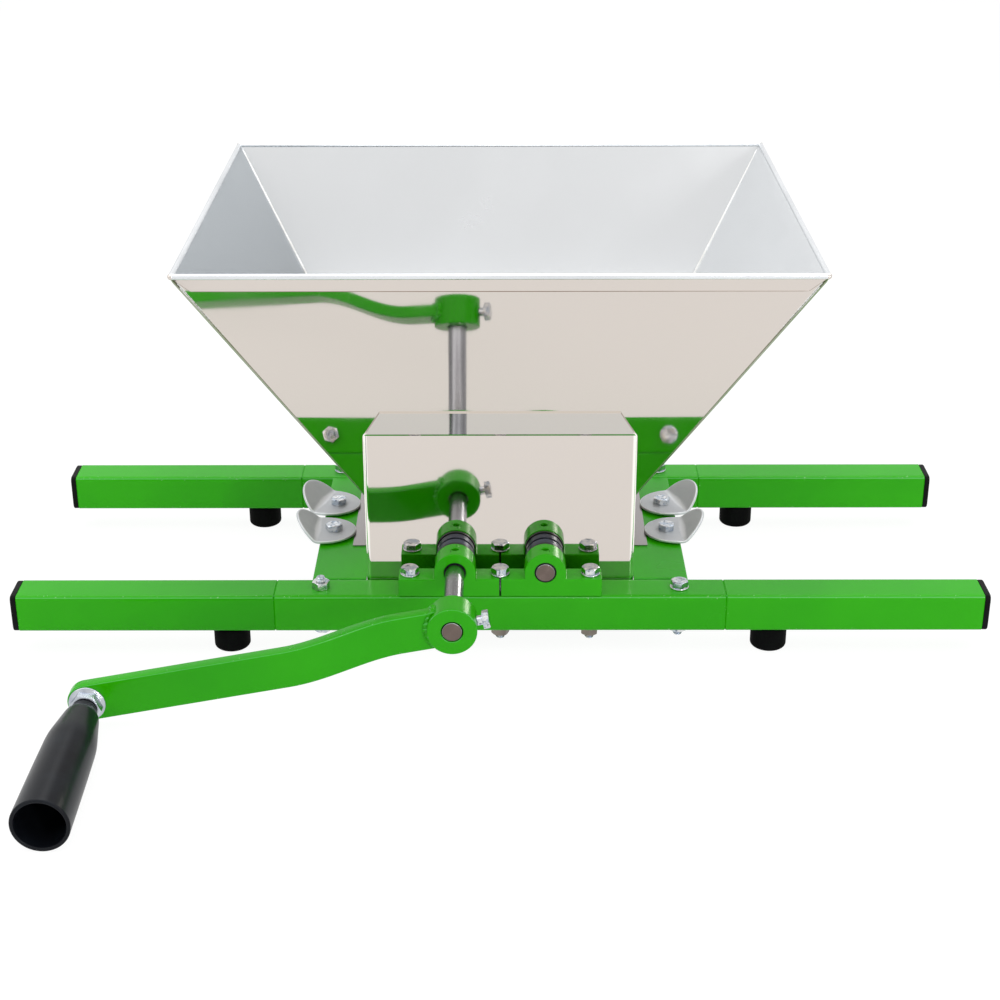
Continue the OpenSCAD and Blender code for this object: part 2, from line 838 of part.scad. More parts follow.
front_rail();
rear_rail();
side_plate_left();
side_plate_right();
leg_front_left();
leg_front_right();
leg_rear_left();
leg_rear_right();
end_caps();
feet();
foot_screws();
leg_bolts();
leg_washers();
leg_nuts();
block_front_left();
block_front_right();
block_rear_left();
block_rear_right();
block_bolts();
block_washers();
block_nuts();
bearing_bushes();
hopper();
gear_guard();
latch_front_left();
latch_front_right();
latch_rear_left();
latch_rear_right();
latch_bolts();
latch_washers();
latch_nuts();
drive_shaft();
drive_drum();
drive_blades();
drive_gear();
drive_collars();
drive_gear_screw();
driven_shaft();
driven_drum();
driven_blades();
driven_gear();
driven_collars();
driven_gear_screw();
crank_arm();
crank_set_screw();
grip_spindle();
grip_nut();
grip();
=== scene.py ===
import json
import math

import bmesh
import bpy
import numpy as np
from mathutils import Matrix, Vector


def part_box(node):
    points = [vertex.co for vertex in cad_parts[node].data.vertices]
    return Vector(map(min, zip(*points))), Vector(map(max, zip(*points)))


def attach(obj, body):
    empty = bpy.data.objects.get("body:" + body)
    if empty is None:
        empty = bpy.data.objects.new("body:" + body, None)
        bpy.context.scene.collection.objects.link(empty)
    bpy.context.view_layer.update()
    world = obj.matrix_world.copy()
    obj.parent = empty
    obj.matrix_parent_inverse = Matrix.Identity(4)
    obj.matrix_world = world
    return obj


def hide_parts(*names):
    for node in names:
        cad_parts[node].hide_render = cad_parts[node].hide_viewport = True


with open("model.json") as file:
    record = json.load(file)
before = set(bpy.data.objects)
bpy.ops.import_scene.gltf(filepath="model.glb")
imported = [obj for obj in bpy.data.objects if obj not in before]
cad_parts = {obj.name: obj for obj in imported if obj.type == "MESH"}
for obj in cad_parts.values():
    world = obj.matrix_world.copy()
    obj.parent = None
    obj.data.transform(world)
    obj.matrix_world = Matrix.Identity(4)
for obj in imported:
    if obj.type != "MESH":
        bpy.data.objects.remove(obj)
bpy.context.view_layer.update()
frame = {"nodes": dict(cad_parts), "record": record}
mm = 0.001
xAxis, yAxis, zAxis = np.eye(3)
chance = np.random.default_rng(11)
behaviour = frame["record"]["behaviour"]
jointPlace = {joint["name"]: np.array(joint["pos_m"]) for joint in behaviour["joints"]}
# The body that each node rides on, and the material slot that it fills
bodyOf = {node: body for body, members in behaviour["bodies"].items() for node in members}
slotOf = {part["node"]: part["material_slot"] for part in frame["record"]["subparts"]}
# Where the axes that run along y cross y = 0
driveAxis, drivenAxis, gripAxis = (jointPlace[name] * (1, 0, 1) for name in ("crank_spin", "driven_spin", "grip_spin"))
print("frame loaded:", len(frame["nodes"]), "nodes")


# Shader sums: a wrapped socket takes part in Python sums, and each sum adds its Math node
class Signal:
    def __init__(self, finish, socket):
        self.finish, self.socket = finish, socket

    def sum(self, operation, *values):
        return self.finish.node("Math", {"operation": operation}, dict(enumerate(values)))

    def __add__(self, other): return self.sum("ADD", self, other)
    def __sub__(self, other): return self.sum("SUBTRACT", self, other)
    def __rsub__(self, other): return self.sum("SUBTRACT", other, self)
    def __mul__(self, other): return self.sum("MULTIPLY", self, other)
    def __pow__(self, other): return self.sum("POWER", self, other)
    def __gt__(self, other): return self.sum("GREATER_THAN", self, other)

    __radd__, __rmul__ = __add__, __mul__

    def size(self):
        return self.sum("ABSOLUTE", self)

    def orMore(self, other):
        return self.sum("MAXIMUM", self, other)

    def clamped(self, low, high):
        # Runs from 0 to 1 as this value runs from low to high, and stops there
        return self.finish.node("MapRange", {"clamp": True}, {"Value": self, "From Min": low, "From Max": high})


class Finish:
    # One material, built from nodes by their type, settings and sockets
    def __init__(self, name, tree=None):
        if tree is None:
            self.material = bpy.data.materials.new(name)
            self.material.use_nodes = True
            tree = self.material.node_tree
        self.tree = tree
        tree.nodes.clear()

    def node(self, kind, settings=None, sockets=None, output=0):
        # A new node, its sockets linked or set by name or number; gives one of its outputs
        made = self.tree.nodes.new("ShaderNode" + kind)
        for key, value in (settings or {}).items():
            setattr(made, key, value)
        for key, value in (sockets or {}).items():
            target = made.inputs[key]
            if isinstance(value, Signal):
                self.tree.links.new(value.socket, target)
            else:
                target.default_value = (*value, 1) if target.type == "RGBA" else value
        return Signal(self, made.outputs[output]) if len(made.outputs) else None

    def place(self):
        return self.node("TexCoord", output="Object")

    def normal(self):
        return self.node("TexCoord", output="Normal")

    def parts(self, vector):
        # The x, y and z of a vector
        outputs = self.node("SeparateXYZ", None, {0: vector}).socket.node.outputs
        return [Signal(self, output) for output in outputs]

    def centred(self, centre):
        return self.node("VectorMath", {"operation": "SUBTRACT"}, {0: self.place(), 1: tuple(centre)})

    def edge(self, low, high):
        # 0 on flat faces to 1 on sharp edges, as markEdges keeps it
        return self.node("Attribute", {"attribute_name": "edgeWear"}, output="Fac").clamped(low, high)

    def noise(self, size, detail=3.0, stretch=(1, 1, 1), seed=0.0):
        # Soft random pattern from 0 to 1, whose spots are about size metres wide
        spot = self.node("Mapping", None, {
            "Vector": self.place(), "Location": (seed, seed * 0.7, -seed), "Scale": stretch})
        return self.node("TexNoise", None, {"Vector": spot, "Scale": 1 / size, "Detail": detail})

    def mixed(self, share, first, second):
        return self.node("Mix", {"data_type": "RGBA"}, {0: share, 6: first, 7: second}, output=2)

    def bump(self, height, distance, strength=1.0, **sockets):
        return self.node("Bump", None, {"Height": height, "Distance": distance, "Strength": strength, **sockets})

    def shade(self, **sockets):
        named = {key.replace("_", " "): value for key, value in sockets.items()}
        surface = self.node("BsdfPrincipled", None, named)
        self.node("OutputMaterial", None, {"Surface": surface})
        return self.material


paintLook = {"green": (0.032, 0.47, 0.0), "shade": (0.024, 0.41, 0.0), "chip": (0.40, 0.66, 0.36),
             "thin": (0.30, 0.80, 0.36), "roughness": 0.20, "chipShare": 0.69, "thinShare": 1.3,
             "joint": 0.7 * mm, "jointDirt": (0.004, 0.02, 0.002)}


def greenPaint(name, seed=0.0, joint=False):
    # Gloss powder coat: orange peel and faint clouds of colour, with a painted highlight in paler paint along
    # the edges that lean upwards, and chips along the edges. On the bearing blocks it is plain, but painted shade
    # darkens the joint between them, at x = 0
    f = Finish(name)
    cloud = f.noise(0.09, seed=seed)
    peel = f.noise(0.0022, detail=1.0, seed=seed)
    colour = f.mixed(cloud.clamped(0.35, 0.65), paintLook["green"], paintLook["shade"])
    rough = paintLook["roughness"] + 0.10 * cloud
    if joint:
        # Painted shade: the faces darken near x = 0, where the two blocks meet
        gap = f.parts(f.place())[0].size().clamped(paintLook["joint"], paintLook["joint"] - 0.1 * mm)
        colour = f.mixed(gap, colour, paintLook["jointDirt"])
    else:
        edge = f.edge(0.2, 0.6)
        speck = f.noise(0.0011, detail=2.0, seed=seed + 3)
        chips = (speck > paintLook["chipShare"]) * f.noise(0.012, seed=seed + 5).clamped(0.5, 0.6) * edge
        upward = f.parts(f.normal())[2].clamped(0.35, 0.7)
        # Painted highlight: paler paint on edges whose normal leans upwards, where the light falls
        colour = f.mixed(edge * upward * (1 - upward) * paintLook["thinShare"], colour, paintLook["thin"])
        colour, rough = f.mixed(chips, colour, paintLook["chip"]), rough + 0.25 * chips
    return f.shade(Base_Color=colour, Roughness=rough, Coat_Weight=0.06, Coat_Roughness=0.05,
                   Specular_IOR_Level=0.16, Normal=f.bump(peel + 0.3 * f.noise(0.012, seed=seed), 0.00006))


steelLook = {"outside": (0.665, 0.61, 0.565), "inside": (0.70, 0.71, 0.72), "leftSheet": (0.35, 0.38, 0.40),
             "rightSheet": (0.86, 0.875, 0.888), "foot": (0.36, 0.34, 0.34),
             "footHeight": (42.6 * mm, 42.3 * mm), "mirror": 0.035, "satin": 0.20}


def mirrorSheet(f, strength, **sockets):
    # Roughness and bump of a mirror sheet: smears, slight waves and hair scratches
    wave = f.noise(0.16, detail=1.0)
    hair = f.noise(0.0016, detail=3.0, stretch=(0.04, 1, 1))
    smear = f.noise(0.05, detail=4.0)
    return (steelLook["mirror"] + 0.04 * smear.clamped(0.45, 0.75),
            f.bump(wave + 0.0006 * hair, 0.0012, strength, **sockets))


def hopperSheet(name, middle):
    # Mirror sheet outside; the faces that look towards the middle have a satin mill finish, with painted
    # shade on the left wall and painted light on the right wall, and the foot strips are darker
    f = Finish(name)
    rough, bumped = mirrorSheet(f, 0.35)
    inward = f.node("VectorMath", {"operation": "DOT_PRODUCT"}, {0: f.normal(), 1: f.centred(middle)},
                    output="Value")
    inside = inward.clamped(0.0, -0.002)
    across = f.parts(f.normal())[0]
    # Painted shade on the left wall's inside face, painted light on the right wall's inside face
    paintedWallShades = f.mixed(across.clamped(0.5, 0.7), steelLook["inside"], steelLook["leftSheet"])
    paintedWallShades = f.mixed(across.clamped(-0.5, -0.7), paintedWallShades, steelLook["rightSheet"])
    colour = f.mixed(inside, steelLook["outside"], paintedWallShades)
    foot = f.parts(f.place())[2].clamped(*steelLook["footHeight"])
    return f.shade(Base_Color=f.mixed(foot, colour, steelLook["foot"]), Metallic=1.0,
                   Roughness=rough + steelLook["satin"] * inside, Normal=bumped)


guardLook = {"bendX": 82.6 * mm, "bendWidth": 0.8 * mm, "bright": (0.96, 0.93, 0.88),
             "flangeFrom": 141.2 * mm, "flange": (0.58, 0.55, 0.515), "topEdge": 159.2 * mm, "lean": (0, -0.081, 0.183)}


def guardSheet(name):
    # Mirror sheet with a painted highlight on its bends and top edge; its top flange is painted a darker shade, and
    # shaded as if it leaned a little less
    f = Finish(name)
    x, _, z = f.parts(f.place())
    bend = x.size().clamped(guardLook["bendX"], guardLook["bendX"] + guardLook["bendWidth"])
    bend = bend.orMore(z > guardLook["topEdge"])
    flange = z > guardLook["flangeFrom"]
    lean = f.node("VectorMath", {"operation": "SCALE"}, {0: guardLook["lean"], "Scale": flange})
    normal = f.node("VectorMath", {"operation": "ADD"}, {0: f.normal(), 1: lean})
    rough, bumped = mirrorSheet(f, 0.25, Normal=f.node("VectorMath", {"operation": "NORMALIZE"}, {0: normal}))
    # Painted shade: a darker steel colour on the top flange
    colour = f.mixed(flange, steelLook["outside"], guardLook["flange"])
    # Painted highlight: a pale colour on the bends and the top edge
    return f.shade(Base_Color=f.mixed(bend, colour, guardLook["bright"]), Metallic=1.0, Roughness=rough,
                   Normal=bumped)


def zincPlate(name, seed=0.0):
    # Bright zinc: blue and straw tints, fine frost, small scuffs
    f = Finish(name)
    tint = f.noise(0.004, seed=seed)
    frost = f.noise(0.0006, detail=4.0, seed=seed)
    colour = f.mixed(tint.clamped(0.38, 0.62), (0.42, 0.48, 0.56), (0.70, 0.71, 0.71))
    colour = f.mixed(f.noise(0.0022, seed=seed + 2).clamped(0.54, 0.70), colour, (0.16, 0.19, 0.24))
    return f.shade(Base_Color=colour, Metallic=1.0, Roughness=0.12 + 0.16 * frost,
                   Normal=f.bump(frost + tint, 0.00007))


def latchZinc(name, seed=0.0):
    # Dull passivated sheet with rolling grain and handling marks; its edges are lighter and smoother, partly rubbed
    # wear and partly a painted highlight
    f = Finish(name)
    cloud = f.noise(0.02, seed=seed)
    grain = f.noise(0.0007, detail=3.0, stretch=(0.12, 1, 1), seed=seed)
    edge = f.edge(0.25, 0.7)
    colour = f.mixed(cloud.clamped(0.35, 0.7), (0.60, 0.62, 0.64), (0.53, 0.55, 0.575))
    # Lighter edges: rubbed wear and a painted edge highlight
    colour = f.mixed(edge, colour, (0.68, 0.70, 0.72))
    return f.shade(Base_Color=colour, Metallic=0.75, Roughness=0.56 + 0.16 * grain - 0.20 * edge,
                   Normal=f.bump(grain, 0.00005))


def groundSteel(name, axisPoint):
    # Ground along its length, with turning rings and a brown tint on its end faces
    f = Finish(name)
    x, _, z = f.parts(f.centred(axisPoint))
    turns = (x * x + z * z) ** 0.5 * (2 * math.pi / 0.00042)
    rings = turns.sum("SINE", turns)
    face = f.parts(f.normal())[1].size().clamped(0.8, 0.95)
    grind = f.noise(0.0006, detail=3.0, stretch=(0.6, 1, 0.6))
    streak = f.noise(0.004, detail=2.0, stretch=(1, 0.05, 1))
    side = f.mixed(streak.clamped(0.4, 0.6), (0.40, 0.42, 0.46), (0.26, 0.27, 0.30))
    colour = f.mixed(face, side, (0.155, 0.120, 0.105))
    return f.shade(Base_Color=colour, Metallic=1.0, Roughness=0.22 + 0.12 * face + 0.08 * grind,
                   Normal=f.bump(grind * (1 - face) + 0.6 * rings * face, 0.00004))


def plainMetal(name, light, dark, roughness, spotSize=0.006, metallic=1.0, specular=0.5):
    f = Finish(name)
    cloud = f.noise(spotSize * 4)
    fine = f.noise(spotSize / 6, detail=4.0)
    return f.shade(Base_Color=f.mixed(cloud.clamped(0.35, 0.65), light, dark), Metallic=metallic,
                   Specular_IOR_Level=specular, Roughness=roughness + 0.18 * fine, Normal=f.bump(fine, 0.00008))


def moulded(name, colour, roughness, grain=0.0006, depth=0.00005, coat=0.0, specular=0.2,
            paintedSheenTint=(0.016, 0.018, 0.022)):
    # Moulded plastic or rubber: fine grain, and worn patches that shine a little more, whose lighter tint is a painted
    # sheen
    f = Finish(name)
    fine = f.noise(grain, detail=2.0)
    patch = f.noise(0.02, detail=3.0)
    return f.shade(Base_Color=f.mixed(patch.clamped(0.45, 0.75), colour, paintedSheenTint),
                   Roughness=roughness + 0.12 * patch, Coat_Weight=coat, Coat_Roughness=0.2,
                   Specular_IOR_Level=specular,
                   Normal=f.bump(fine + 0.5 * patch, depth))


# A surface is a pair: an array of points, and an array of faces on them
def grid(points, closeRows=False, closeColumns=False):
    # Quads between neighbours of a (rows, columns, 3) array of points
    rows, columns = points.shape[:2]
    i, j = np.meshgrid(np.arange(rows - (not closeRows)), np.arange(columns - (not closeColumns)),
                       indexing="ij")
    below, right = (i + 1) % rows, (j + 1) % columns
    quads = np.stack([i * columns + j, below * columns + j, below * columns + right, i * columns + right], -1)
    return points.reshape(-1, 3), quads.reshape(-1, 4)


def joined(surfaces):
    # One surface from several, each one's faces counted on from the points before it
    starts = np.cumsum([0] + [len(points) for points, faces in surfaces[:-1]])
    return (np.concatenate([points for points, faces in surfaces]),
            np.concatenate([faces + start for (points, faces), start in zip(surfaces, starts)]))


def rounded(corners, reach, steps=4, support=1.0):
    # Each corner C of a closed outline becomes (1-t)^2 A + 2t(1-t) C + t^2 B, with A and B at reach
    # from it along its two sides, and one more point beyond each of them
    c = np.asarray(corners, float)
    before, after = np.roll(c, 1, 0) - c, np.roll(c, -1, 0) - c
    lengths = [np.linalg.norm(side, axis=1) for side in (before, after)]
    reach = np.minimum(reach, 0.45 * np.minimum(*lengths))[:, None]
    before, after = (side / length[:, None] for side, length in zip((before, after), lengths))
    extra = np.minimum(reach * (1 + support), 0.49 * np.minimum(*lengths)[:, None])
    a, b = (c + before * reach)[:, None], (c + after * reach)[:, None]
    t = np.linspace(0, 1, steps + 1)[None, :, None]
    curve = (1 - t) ** 2 * a + 2 * t * (1 - t) * c[:, None] + t ** 2 * b
    return np.concatenate([(c + before * extra)[:, None], curve, (c + after * extra)[:, None]], 1).reshape(-1, 2)


def rectangle(left, low, right, high):
    return np.array([(left, low), (right, low), (right, high), (left, high)])


def evenAngles(count):
    return np.linspace(0, 2 * np.pi, count, endpoint=False)


def softEdge(edge, count):
    # A rounded edge: drawn in by edge * (1 - sin a) where it lies edge * (1 - cos a) below its face
    a = np.linspace(0, np.pi / 2, count)
    return edge * (1 - np.sin(a)), edge * (1 - np.cos(a))


def thereAndBack(rows, sign=1):
    return np.concatenate([rows, sign * rows[::-1]])


def ringAround(axis, count, turn=0.0):
    # Unit directions square to an axis, evenly round it: cos(a) * side + sin(a) * other
    axis = np.asarray(axis, float)
    side = np.cross(axis, zAxis if abs(axis[2]) < 0.9 else xAxis)
    side /= np.linalg.norm(side)
    angle = evenAngles(count)[:, None] + turn
    return np.cos(angle) * side + np.sin(angle) * np.cross(axis, side)


def turned(profile, origin, axis=yAxis, steps=72):
    # Closed profile of (radius, along) carried round an axis: origin + along * axis + radius * direction
    profile = np.asarray(profile, float)
    points = origin + profile[None, :, 1:] * axis + profile[None, :, :1] * ringAround(axis, steps)[:, None]
    return grid(points, True, True)


def ringOf(inner, outer, low, high, edge):
    # Rounded rectangle profile of a ring, sleeve or disc
    return rounded(rectangle(inner, low, outer, high), edge)


hexLook = {"chamferStart": 0.95, "chamferSlope": 0.55, "dish": 0.22 * mm, "dishShare": 0.62, "dishSide": 0.15,
           "steps": 96, "shares": np.array([0.0, 0.3, 0.55, 0.7, 0.85, 0.92, 1.0])}


def hexHead(flats, height, origin, axis, turn=0.0, bore=0.0):
    # Hexagon prism whose ends fall away outside a circle: drop = slope * (radius - circle). A nut is bored
    # and has both ends alike; a head has a shallow dish on top and a flat foot
    angle = evenAngles(hexLook["steps"])[:, None]
    side = flats / 2 / np.cos((angle + np.pi / 6) % (np.pi / 3) - np.pi / 6)
    radius = bore + (side - bore) * hexLook["shares"]
    drop = hexLook["chamferSlope"] * np.maximum(0, radius - hexLook["chamferStart"] * flats / 2)
    foot = drop if bore else np.zeros_like(drop)
    if not bore:
        dished = np.clip((hexLook["dishShare"] * flats / 2 - radius) / (hexLook["dishSide"] * flats / 2), 0, 1)
        drop = drop + hexLook["dish"] * dished * dished * (3 - 2 * dished)
    heights = np.concatenate([height - drop, foot[:, ::-1]], 1)[:, :, None]
    radii = np.concatenate([radius, radius[:, ::-1]], 1)[:, :, None]
    return grid(origin + heights * axis + radii * ringAround(axis, hexLook["steps"], turn)[:, None], True, bool(bore))


threadLook = {"pitch": 1.0 * mm, "depth": 0.5 * mm, "perPitch": 8, "around": 32}


def threaded(radius, length, origin, axis):
    # Screw thread: radius - depth * (1 - cos(2 pi (along / pitch - turn))) / 2, coned off at its end
    rows = int(length / threadLook["pitch"] * threadLook["perPitch"]) + 1
    along = np.linspace(0, length, rows)[None, :]
    turn = np.linspace(0, 1, threadLook["around"], endpoint=False)[:, None]
    wave = (1 - np.cos(2 * np.pi * (along / threadLook["pitch"] - turn))) / 2
    r = np.minimum(radius - threadLook["depth"] * wave, radius - 0.7 * (along - length + 0.8 * radius / 3))
    r, along = np.pad(r, ((0, 0), (1, 1))), np.pad(along, ((0, 0), (1, 1)), "edge")
    ring = ringAround(axis, threadLook["around"])[:, None]
    return grid(origin + along[:, :, None] * axis + r[:, :, None] * ring, True)


def markEdges(mesh):
    # Keeps at each point how sharply the faces round it turn: 0 on a flat, 1 from 25 degrees up
    def read(items, key, count, kind):
        values = np.empty(count, kind)
        items.foreach_get(key, values)
        return values
    normals = read(mesh.polygon_normals, "vector", 3 * len(mesh.polygons), np.float32).reshape(-1, 3)
    edgeOf = read(mesh.loops, "edge_index", len(mesh.loops), np.int32)
    total = read(mesh.polygons, "loop_total", len(mesh.polygons), np.int32)
    ends = read(mesh.edges, "vertices", 2 * len(mesh.edges), np.int32).reshape(-1, 2)
    faceOf = np.repeat(np.arange(len(total)), total)
    order = np.argsort(edgeOf, kind="stable")
    edge, face = edgeOf[order], faceOf[order]
    pair = edge[1:] == edge[:-1]
    cosine = (normals[face[1:]] * normals[face[:-1]]).sum(1)[pair]
    turn = np.clip(np.arccos(np.clip(cosine, -1, 1)) / math.radians(25), 0, 1)
    wear = np.zeros(len(mesh.vertices), np.float32)
    for end in (0, 1):
        np.maximum.at(wear, ends[edge[1:][pair], end], turn)
    mesh.attributes.new("edgeWear", "FLOAT", "POINT").data.foreach_set("value", wear)


def added(name, data):
    # A new object in the scene
    thing = bpy.data.objects.new(name, data)
    bpy.context.scene.collection.objects.link(thing)
    return thing


def smoothObject(mesh, material, sharp):
    # Shaded smooth, but not over edges sharper than so many degrees
    mesh.polygons.foreach_set("use_smooth", np.ones(len(mesh.polygons), bool))
    mesh.set_sharp_from_angle(angle=math.radians(sharp))
    mesh.materials.append(material)
    return added(mesh.name, mesh)


def standFor(piece, node, trim=False):
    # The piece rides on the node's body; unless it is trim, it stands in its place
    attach(piece, bodyOf[node])
    if not trim:
        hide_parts(node)


def welded(mesh, reach=1e-6):
    # A copy of a mesh's faces in which points closer than reach are joined
    shell = bmesh.new()
    shell.from_mesh(mesh)
    bmesh.ops.remove_doubles(shell, verts=shell.verts, dist=reach)
    return shell


def addPiece(name, surface, material, node, sharp=38, trim=False):
    # A closed surface becomes a piece for a node, with its faces turned outwards
    points, faces = surface
    mesh = bpy.data.meshes.new(name)
    mesh.from_pydata(points.tolist(), [], faces.tolist())
    shell = welded(mesh, 1e-7)
    bmesh.ops.dissolve_degenerate(shell, dist=1e-8, edges=shell.edges)
    bmesh.ops.recalc_face_normals(shell, faces=shell.faces)
    shell.to_mesh(mesh)
    shell.free()
    markEdges(mesh)
    standFor(smoothObject(mesh, material, sharp), node, trim)


def roundedCopy(node, material, width, angle=30, segments=3):
    # The node's own solid with its flat faces made whole and its edges rounded
    shell = welded(frame["nodes"][node].data)
    bmesh.ops.dissolve_limit(shell, angle_limit=math.radians(0.5), verts=shell.verts, edges=shell.edges)
    mesh = bpy.data.meshes.new(node + "Piece")
    shell.to_mesh(mesh)
    shell.free()
    piece = smoothObject(mesh, material, 30)
    bevel = piece.modifiers.new("softEdges", "BEVEL")
    bevel.width, bevel.segments, bevel.limit_method = width, segments, "ANGLE"
    bevel.angle_limit, bevel.harden_normals = math.radians(angle), True
    bevel.use_clamp_overlap = False
    standFor(piece, node)


def solidBoxes(node):
    # Lowest and highest corner of each separate solid in a node, from left to right
    shell = welded(frame["nodes"][node].data)
    boxes, left = [], set(shell.verts)
    while left:
        front, island = [left.pop()], []
        while front:
            vert = front.pop()
            island.append(tuple(vert.co))
            near = {edge.other_vert(vert) for edge in vert.link_edges} & left
            left -= near
            front += near
        boxes.append((np.min(island, 0), np.max(island, 0)))
    shell.free()
    return sorted(boxes, key=lambda pair: tuple(np.round(pair[0], 4)))


# Camera and light
cameraView = {"place": (0.00088, -1.06473, 0.58617), "down": 24.634, "turn": 0.05, "roll": -0.086, "lens": 67.10}
lamps = {
    # place, size, watts, aimed at
    "keyLight": ((0.85, -1.55, 0.50), (0.20, 0.55), 6.2, (0, -0.05, 0.08)),
    "fillLight": ((-1.1, -0.6, 1.0), (0.9, 0.9), 2.5, (0, 0, 0.1)),
    "topLight": ((0.1, 0.15, 1.5), (2.8, 2.4), 24.5, (0, 0, 0)),
    "backLight": ((0.2, 1.0, 1.45), (1.4, 0.6), 3.0, (0, 0, 0.1))}
worldLevel = {"seen": 1.0, "lights": 0.42}
floorLook = {"colour": (0.85, 0.85, 0.85), "glow": 1.10, "glowShare": 0.85, "half": 4.0}


def makeCamera():
    bpy.context.scene.view_settings.view_transform = "Standard"
    camera = added("camera", bpy.data.cameras.new("camera"))
    camera.data.lens, camera.data.sensor_width = cameraView["lens"], 36
    camera.data.clip_start, camera.data.clip_end = 0.05, 50
    turn, roll = math.radians(cameraView["turn"]), math.radians(cameraView["roll"])
    tilt = math.radians(90 - cameraView["down"])
    camera.matrix_world = (Matrix.Translation(cameraView["place"]) @ Matrix.Rotation(turn, 4, "Z")
                           @ Matrix.Rotation(tilt, 4, "X") @ Matrix.Rotation(roll, 4, "Z"))
    bpy.context.scene.camera = camera


def makeLamps():
    for name, (place, size, watts, target) in lamps.items():
        data = bpy.data.lights.new(name, "AREA")
        data.shape, data.size, data.size_y, data.energy = "RECTANGLE", size[0], size[1], watts
        lamp = added(name, data)
        lamp.location = place
        lamp.rotation_euler = (Vector(target) - Vector(place)).to_track_quat("-Z", "Y").to_euler()


def seenDirectly(f):
    # 1 for what the camera, a mirror or glass sees, 0 for what lights other surfaces
    rays = f.node("LightPath").socket.node.outputs
    camera, glossy, through = (Signal(f, rays["Is %s Ray" % kind]) for kind in ("Camera", "Glossy", "Transmission"))
    return camera.orMore(glossy).orMore(through)


def makeWorld():
    world = bpy.data.worlds.new("studio")
    world.use_nodes = True
    bpy.context.scene.world = world
    f = Finish("studio", world.node_tree)
    seen = seenDirectly(f)
    level = worldLevel["lights"] + (worldLevel["seen"] - worldLevel["lights"]) * seen
    surface = f.node("Background", None, {"Color": (1, 1, 1), "Strength": level})
    f.node("OutputWorld", None, {"Surface": surface})


def makeFloor():
    half = floorLook["half"]
    mesh = bpy.data.meshes.new("floor")
    corners = [(x, y, 0) for x, y in rectangle(-half, -half, half, half)]
    mesh.from_pydata(corners, [], [(0, 1, 2, 3)])
    f = Finish("floorPaper")
    lit = f.node("BsdfDiffuse", None, {"Color": floorLook["colour"]})
    glow = f.node("Emission", None, {"Color": (1, 1, 1), "Strength": floorLook["glow"]})
    surface = f.node("MixShader", None, {0: seenDirectly(f) * floorLook["glowShare"], 1: lit, 2: glow})
    f.node("OutputMaterial", None, {"Surface": surface})
    mesh.materials.append(f.material)
    added("floor", mesh)


makeCamera()
makeLamps()
makeWorld()
makeFloor()
print("camera, lamps and floor made")

# Finishes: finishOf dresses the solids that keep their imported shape, by their slot
hopperMiddle = (0, 0.16, 0.30)
paint = greenPaint("framePaint")
zinc = zincPlate("boltZinc")
hopperSteel = hopperSheet("hopperSteel", hopperMiddle)
collarMetal = plainMetal("collarBlue", (0.060, 0.078, 0.120), (0.035, 0.046, 0.072), 0.14,
                         metallic=0.20, specular=0.12)
bushPlastic = moulded("bushPlastic", (0.006, 0.006, 0.007), 0.25, coat=0.12, specular=0.10)
rimMetal = plainMetal("rimSteel", (0.80, 0.82, 0.84), (0.70, 0.72, 0.74), 0.16, 0.02)
capPlastic = moulded("capPlastic", (0.005, 0.005, 0.005), 0.42, specular=0.07, paintedSheenTint=(0.010, 0.011, 0.013))
gripPlastic = moulded("gripPlastic", (0.006, 0.007, 0.010), 0.26, 0.0009, 0.00003, 0.06, 0.11, (0.011, 0.014, 0.019))
rubber = moulded("footRubber", (0.003, 0.003, 0.003), 0.62, 0.0008, 0.0001, specular=0.03,
                 paintedSheenTint=(0.006, 0.007, 0.007))
finishOf = {"green_paint": paint, "polished_steel": guardSheet("guardSteel"), "zinc_plate": zinc,
            "blade_steel": plainMetal("bladeSteel", (0.62, 0.62, 0.63), (0.50, 0.50, 0.52), 0.28),
            "gear_iron": plainMetal("gearIron", (0.16, 0.16, 0.17), (0.09, 0.09, 0.10), 0.38),
            "collar_steel": collarMetal,
            "black_plastic": capPlastic, "grip_plastic": gripPlastic, "black_rubber": rubber,
            "ground_steel": groundSteel("groundSteel", driveAxis)}
for node, thing in frame["nodes"].items():
    for materialSlot in thing.material_slots:
        materialSlot.material = hopperSteel if node == "hopper" else finishOf[slotOf[node]]

# Square tubes of the frame
tubeLook = {"side": 25 * mm, "wall": 1.5 * mm, "corner": 2.6 * mm, "innerCorner": 1.0 * mm, "endEdge": 0.5 * mm}
spigotLook = {"side": 21.8 * mm, "wall": 2 * mm, "corner": 1.6 * mm, "innerCorner": 0.8 * mm, "endEdge": 0.4 * mm}
plugLook = {"side": 21.8 * mm, "wall": 2.5 * mm, "corner": 1.4 * mm, "innerCorner": 0.8 * mm, "endEdge": 0.8 * mm}
frameLayout = {"seam": 143 * mm, "legEnd": 306.3 * mm, "spigotFrom": 98 * mm, "spigotTo": 183 * mm,
               "frontY": -9.42 * mm, "rearY": 175.58 * mm, "height": 28.5 * mm, "capEnd": 310 * mm,
               "capPlug": 295 * mm, "footX": 172.5 * mm}


def squareOutline(side, reach):
    half = side / 2
    return rounded(rectangle(-half, -half, half, half), reach, 6, 0.6)


def stacked(along, rows):
    # Outlines (y, z) each at its own x
    return np.concatenate([np.broadcast_to(along[:, None, None], rows.shape[:2] + (1,)), rows], 2)


def tube(low, high, middle, look):
    # The outside outline (y, z) at stations along x, then the outline of the bore on the way back;
    # at both ends the outside shrinks by endEdge
    edge = look["endEdge"]
    x = np.array([low, low + edge, low + 3 * edge + mm, high - 3 * edge - mm, high - edge, high, high, low])
    share = 1 - 2 * np.array([edge, 0, 0, 0, 0, edge]) / look["side"]
    outside = squareOutline(look["side"], look["corner"])
    bore = squareOutline(look["side"] - 2 * look["wall"], look["innerCorner"])
    rows = np.concatenate([share[:, None, None] * outside, np.stack([bore, bore])])
    return grid(stacked(x, rows) + [0, *middle], True, True)


